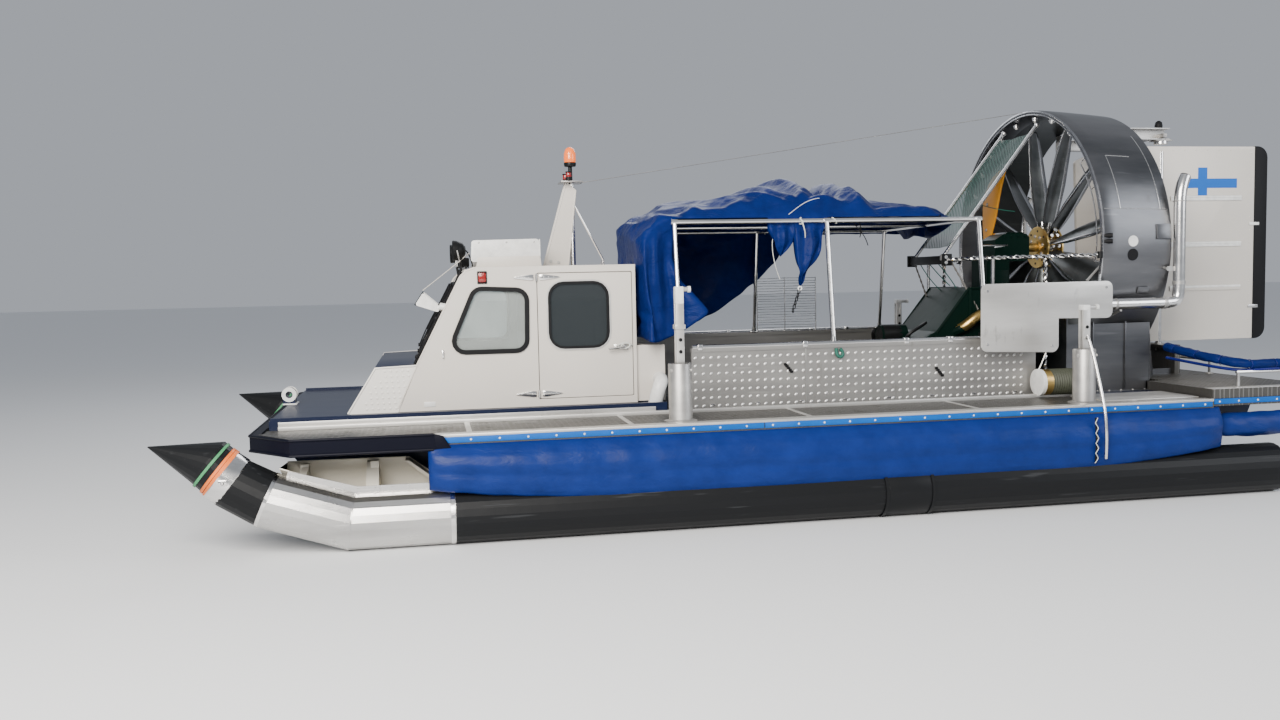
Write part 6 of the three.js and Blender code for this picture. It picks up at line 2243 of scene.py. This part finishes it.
class HOVERCRAFT_OT_tarpaulin(bpy.types.Operator):
    """Drapes the tarpaulin over the canopy's bars by a cloth simulation, and ties its loose folds"""

    bl_idname = "hovercraft.tarpaulin"
    bl_label = "Tarpaulin"

    FRONT, REAR, REAR_PORT = 1.365, -1.86, -1.3
    HALF = 1.0
    # The heap along the craft, as (x, height in the middle, height at the shoulders)
    HEAP = [(1.365, 2.25, 2.19), (1.28, 2.34, 2.27), (1.13, 2.43, 2.36), (0.79, 2.54, 2.44),
        (0.4, 2.58, 2.46), (0.12, 2.66, 2.47), (-0.12, 2.74, 2.49), (-0.3, 2.68, 2.45), (-0.46, 2.57, 2.4),
        (-0.62, 2.71, 2.47), (-0.75, 2.57, 2.41), (-1.1, 2.52, 2.4), (-1.5, 2.41, 2.36), (-1.86, 2.34, 2.33)]
    LEAN = 0.19
    # The starboard hem, as (x, height)
    HEM = [(1.4, 1.38), (0.6, 1.4), (0.36, 1.48), (0.27, 1.54), (-0.26, 1.83), (-0.48, 2.04), (-0.6, 2.25),
        (-0.75, 2.31)]
    # The lower edge of the flap at the port front corner, as (share of the way aft, x, height)
    FLAP = [(0.0, 1.345, 1.37), (0.3, 1.24, 1.382), (0.65, 0.983, 1.469), (1.0, 0.785, 1.597)]
    FLAP_REAR = 1.06
    LOBES = {"fold": (0.24, 0.02, (0.13, 0.965, 2.05)), "drop": (0.02, -0.27, (-0.03, 0.985, 1.79))}

    def execute(self, context):
        sizes = context.scene.hovercraft.tarpaulin
        self.along = round((self.FRONT - self.REAR) / sizes.mesh)
        self.across = round(2.1 / sizes.mesh)
        piece = self.sheet()
        colliders = self.colliders()
        self.simulate(context, piece, sizes)
        for one in colliders:
            bpy.data.objects.remove(one)
        self.finish(piece)
        self.ties(context, piece)
        return {"FINISHED"}

    def front(self, y):
        """Where the front edge lies: it runs slightly aft towards starboard."""
        return self.FRONT - self.LEAN * max(0.0, -y)

    def top(self, u, v):
        """The part that lies on the bars, from the front (u 0) aft and from starboard (v 0) to port."""
        y = (2 * v - 1) * self.HALF
        rear = self.REAR + (self.REAR_PORT - self.REAR) * max(0.0, y) ** 1.5
        front = self.front(y)
        x = front + (rear - front) * u
        corner = max(0.0, x - front + 0.16) / 0.16
        y *= 1 - 0.07 * corner ** 2
        middle, shoulder = along_table(self.HEAP, x)
        share = abs(y) / self.HALF
        z = middle + (shoulder - middle) * share ** 2.0
        edge = max(0.0, share - 0.86) / 0.14
        lie = RAIL_Z + 0.03 if x < 1.1 else RAIL_Z + 0.03 - (x - 1.1) * 0.55
        z += (lie - z) * edge ** 2
        calm = 1 - edge ** 3
        z += calm * 0.05 * noise((x * 1.7, y * 1.5, 4.0))
        ridge = 1 - abs(noise((x * 2.6 + y * 1.1, y * 2.1 - x * 0.7, 9.0))) * 2.2
        z += calm * 0.045 * max(0.0, ridge)
        knot = hypot(x + 0.04, y - 1.0)
        z += calm * 0.03 * sin(atan2(y - 1.0, x + 0.04) * 9) * exp(-(knot / 0.5) ** 2)
        if y > 0.55 and x < -0.3:
            z += 0.04 * calm * (1 + sin(x * 13 + 1.2)) * (y - 0.55)
        return Vector((x, y, z))

    def edge(self, step):
        """The top's edge: from the starboard rear corner forward, across the front and aft on port."""
        if step <= self.along:
            return self.top(1 - step / self.along, 0.0)
        if step <= self.along + self.across:
            return self.top(0.0, (step - self.along) / self.across)
        return self.top((step - self.along - self.across) / self.along, 1.0)

    def fall(self, step, depth):
        """A point below the edge: depth runs from 0 at the edge to 1 at the hem."""
        start = self.edge(step)
        port = step - self.along - self.across
        swing = noise((start.x * 4.5, start.y * 4.5, depth * 1.2)) * 0.055 * depth
        if port <= 0 and step > self.along:
            front = self.front(start.y)
            place = start.lerp(Vector((front, start.y * 1.03, 1.4)), depth)
            place.x = min(front, start.x + (front - 0.015 - start.x) * min(1.0, depth * 4)
                + swing * 0.5 - 0.02 * depth)
            return place
        if port <= 0:
            hem = along_table(self.HEM, start.x)[0]
            z = start.z + (hem - start.z) * depth
            out = self.HALF + max(0.0, RAIL_Z - z) * 0.14 + 0.03 + 0.02 * min(1.0, depth * 6)
            soft = min(1.0, depth * 8)
            return Vector((start.x, start.y + (-out - swing - start.y) * soft, z))
        share = min(1.0, port / self.flap_steps())
        (s0, x0, z0), (s1, x1, z1) = next((a, b) for a, b in zip(self.FLAP, self.FLAP[1:]) if share <= b[0])
        t = (share - s0) / (s1 - s0)
        end_x, end_z = x0 + (x1 - x0) * t, z0 + (z1 - z0) * t
        lean = max(0.0, depth - 0.4) / 0.6
        z = start.z + (end_z - start.z) * depth
        x = start.x + (end_x - start.x) * lean ** 1.2
        inside = self.HALF + max(0.0, RAIL_Z - z) * 0.14 - 0.045
        outside = inside + 0.075
        front = max(0.0, min(1.0, (x - 1.1) / 0.1))
        y = inside + (outside - inside) * front + 0.035 * sin(share * 15) * depth
        soft = min(1.0, depth * 7)
        return Vector((x, start.y + (y + swing * 0.6 - start.y) * soft, z))

    def flap_steps(self):
        """How many steps of the port edge the front flap takes."""
        return round(self.along * (self.FRONT - self.FLAP_REAR) / (self.FRONT - self.REAR_PORT))

    def port_step(self, x):
        """The step along the edge at which the port side reaches x."""
        return self.along + self.across + round(self.along * (self.FRONT - x) / (self.FRONT - self.REAR_PORT))

    def lobe(self, first, last, end):
        """A gathered fold that hangs inside the port rail and narrows to a tie."""
        end = Vector(end)

        def shape(u, v):
            start = self.edge(first + (last - first) * u)
            down = 1 - v
            inner = Vector((start.x, 0.955, start.z - 0.03))
            place = start.lerp(inner, min(1.0, down * 8))
            pull = down ** 1.7
            place.x += (end.x - place.x) * pull
            place.z += (end.z - place.z) * down
            belly = sin(pi * min(1.0, down * 1.05)) * sin(pi * (0.12 + 0.76 * u))
            fold = sin(u * tau * 2.2) * 0.035 * (1 - down * 0.6)
            place.y += (end.y - place.y) * down + (0.06 * belly + fold) * min(1.0, down * 5)
            place.x += 0.05 * (u - 0.5) * -sin(pi * down)
            return place

        return shape

    def sheet(self):
        """The whole cloth before it settles: top, hanging edge and folds, merged."""
        bm = bmesh.new()
        add_grid(bm, self.along, self.across, self.top)
        rows = 22
        last = self.along + self.across + self.flap_steps()
        add_grid(bm, last, rows, lambda u, v: self.fall(round(u * last), 1 - v))
        for front, rear, end in self.LOBES.values():
            steps = (self.port_step(front), self.port_step(rear))
            add_grid(bm, steps[1] - steps[0], 12, self.lobe(*steps, end))
        bmesh.ops.remove_doubles(bm, verts=bm.verts[:], dist=0.0004)
        return finish_piece(bm, "tarpaulin_sheet", ["tarp"], replaces=["tarpaulin"],
            smooth=80, doubles=0)

    def colliders(self):
        """The bars that carry the cloth, and a smooth heap under it, for the simulation alone."""
        bars = bmesh.new()
        for x in CANOPY_POSTS:
            add_bar(bars, (x, -1.0, RAIL_Z), (x, 1.0, RAIL_Z), 0.022)
            for sign in SIDES.values():
                add_bar(bars, (x, sign * 1.145, 1.3), (x, sign, RAIL_Z), 0.024)
        for sign in SIDES.values():
            add_bar(bars, (1.07, sign, RAIL_Z), (-1.68, sign, RAIL_Z), 0.024)
        heap = bmesh.new()
        add_grid(heap, 60, 36, lambda u, v: self.top(0.02 + 0.94 * u, 0.05 + 0.9 * v) - Vector((0, 0, 0.022)))
        made = []
        for name, bm in (("bars", bars), ("heap", heap)):
            mesh = bpy.data.meshes.new(name)
            bm.to_mesh(mesh)
            bm.free()
            one = link_object(name, mesh)
            one.modifiers.new("collision", "COLLISION")
            one.collision.thickness_outer = 0.006
            one.collision.cloth_friction = 12.0
            one.collision.use_culling = False
            made.append(one)
        return made

    def simulate(self, context, piece, sizes):
        """Lets the slack cloth sag and crease, and keeps its last shape."""
        group = piece.vertex_groups.new(name="held")
        ends = [Vector(end) for _, _, end in self.LOBES.values()]
        for vert in piece.data.vertices:
            place = vert.co
            near_rail = place.z > RAIL_Z - 0.01 and abs(place.y) > 0.985 and place.x < 1.1
            tied = min((place - end).length for end in ends) < 0.06
            front = place.x > self.front(place.y) - 0.06 and (place.z < 1.45 or 2.05 < place.z < 2.3)
            tip = (place - Vector((0.785, 1.06, 1.597))).length < 0.12
            inner = 0.93 < place.y < 0.99 and place.z > RAIL_Z - 0.08 and place.x < 1.0
            weight = 1.0 if near_rail or tied or inner else 0.6 if front or tip else 0.0
            if weight:
                group.add([vert.index], weight, "REPLACE")
        cloth_settings = piece.modifiers.new("cloth", "CLOTH")
        settings = cloth_settings.settings
        settings.quality = 6
        settings.mass = 0.25
        settings.tension_stiffness = 25
        settings.compression_stiffness = 25
        settings.shear_stiffness = 12
        settings.bending_stiffness = 0.15
        settings.air_damping = 3.0
        settings.vertex_group_mass = "held"
        settings.pin_stiffness = 4.0
        settings.shrink_min = -sizes.slack
        settings.shrink_max = -sizes.slack
        settings.effector_weights.gravity = 0.8
        cloth_settings.collision_settings.distance_min = 0.008
        cloth_settings.collision_settings.collision_quality = 3
        cloth_settings.point_cache.frame_start = 1
        cloth_settings.point_cache.frame_end = sizes.steps
        for step in range(1, sizes.steps + 1):
            context.scene.frame_set(step)
        settled = bpy.data.meshes.new_from_object(piece.evaluated_get(context.evaluated_depsgraph_get()))
        settled.materials.clear()
        settled.materials.append(MATERIALS["tarp"])
        piece.modifiers.clear()
        piece.vertex_groups.clear()
        piece.data = settled
        context.scene.frame_set(1)

    def finish(self, piece):
        """Smooths the cloth and gives it its thickness."""
        smooth = piece.modifiers.new("smooth", "SUBSURF")
        smooth.levels = smooth.render_levels = 1
        thick = piece.modifiers.new("thick", "SOLIDIFY")
        thick.thickness = 0.0025
        thick.offset = 0.0
        piece.data.shade_smooth()

    def ties(self, context, piece):
        """The cord round the rail, the ring and strap at the drop's tip, eyelets and loose cords."""
        bm = bmesh.new()
        x = -0.043
        knot = [(x + 0.012 * sin(t * 2), 1.0 + 0.027 * cos(t), RAIL_Z + 0.027 * sin(t))
            for t in spread(0.0, 13.0, 40)]
        add_tube(bm, knot, 0.005, 6, True, 0, 2)
        add_tube(bm, [(x, 1.027, RAIL_Z), (x - 0.01, 1.04, RAIL_Z - 0.05), (x - 0.035, 1.02, RAIL_Z - 0.1),
            (x - 0.04, 0.99, RAIL_Z - 0.14)], 0.005, 6, True, 0, 4)
        ring = Vector(self.LOBES["drop"][2]) + Vector((0, 0.01, -0.012))
        loop = [ring + Vector((sin(t) * 0.016, 0, cos(t) * 0.016)) for t in spread(0, tau, 13)]
        add_tube(bm, loop, 0.006, 8, True, 1, 3)
        for k in range(6):
            place = ring + Vector((0.011, 0.0, -0.032)) * (k + 0.8)
            link = [place + Vector((sin(t) * 0.009, (0.006 if k % 2 else -0.006) * sin(t), cos(t) * 0.02))
                for t in spread(0, tau, 9)]
            add_tube(bm, link, 0.0045, 6, True, 2, 2)
        add_tube(bm, [(0.2, 0.98, 2.2), (0.215, 0.985, 2.12), (0.2, 0.99, 2.0), (0.145, 0.99, 1.86)], 0.003,
            6, True, 0, 6)
        add_tube(bm, [(-0.53, 0.97, RAIL_Z - 0.02), (-0.55, 0.975, 2.27), (-0.62, 0.97, 2.25),
            (-0.65, 0.98, 2.13)], 0.004, 6, True, 2, 6)
        add_tube(bm, [(-0.58, 0.97, RAIL_Z - 0.02), (-0.6, 0.97, 2.26), (-0.58, 0.97, 2.2)], 0.004, 6, True,
            2, 6)
        context.view_layer.update()
        seam = []
        for k in range(15):
            t = k / 14
            found, place, _, _ = piece.ray_cast((0.06 - 0.3 * t, 1.6, 2.4 + 0.14 * sin(t * 1.5)), (0, -1, 0))
            if found and place.y > 0.2:
                seam.append(place + Vector((0, 0.002, 0)))
        if len(seam) > 3:
            add_tube(bm, seam, 0.0025, 6, True, 1, 3)
        finish_piece(bm, "tarpaulin_ties", ["lace", "white", "rubber"], smooth=60,
            doubles=0)


OPERATORS = [HOVERCRAFT_OT_stage, HOVERCRAFT_OT_finishes, HOVERCRAFT_OT_runners, HOVERCRAFT_OT_skirts,
    HOVERCRAFT_OT_cabin, HOVERCRAFT_OT_roof, HOVERCRAFT_OT_cargo_sides, HOVERCRAFT_OT_tarpaulin,
    HOVERCRAFT_OT_fan, HOVERCRAFT_OT_duct, HOVERCRAFT_OT_rudders, HOVERCRAFT_OT_exhausts,
    HOVERCRAFT_OT_engine_bay, HOVERCRAFT_OT_legs, HOVERCRAFT_OT_deck, HOVERCRAFT_OT_stern]


class HOVERCRAFT_PT_pieces(bpy.types.Panel):
    """Lists the craft's operators and settings"""

    bl_idname = "HOVERCRAFT_PT_pieces"
    bl_label = "Hovercraft"
    bl_space_type = "VIEW_3D"
    bl_region_type = "UI"
    bl_category = "Hovercraft"

    def draw(self, context):
        for operator in OPERATORS:
            self.layout.operator(operator.bl_idname)
        for key, group in SETTINGS.items():
            column = self.layout.box().column()
            column.label(text=key)
            for label in group.__annotations__:
                column.prop(getattr(context.scene.hovercraft, key), label)


CLASSES = [*SETTINGS.values(), HovercraftSettings, *OPERATORS, HOVERCRAFT_PT_pieces]


def register():
    for one in CLASSES:
        bpy.utils.register_class(one)
    bpy.types.Scene.hovercraft = PointerProperty(type=HovercraftSettings)


def unregister():
    del bpy.types.Scene.hovercraft
    for one in reversed(CLASSES):
        bpy.utils.unregister_class(one)


def main():
    register()
    for operator in OPERATORS:
        group, name = operator.bl_idname.split(".")
        getattr(getattr(bpy.ops, group), name)()


if __name__ == "__main__":
    main()
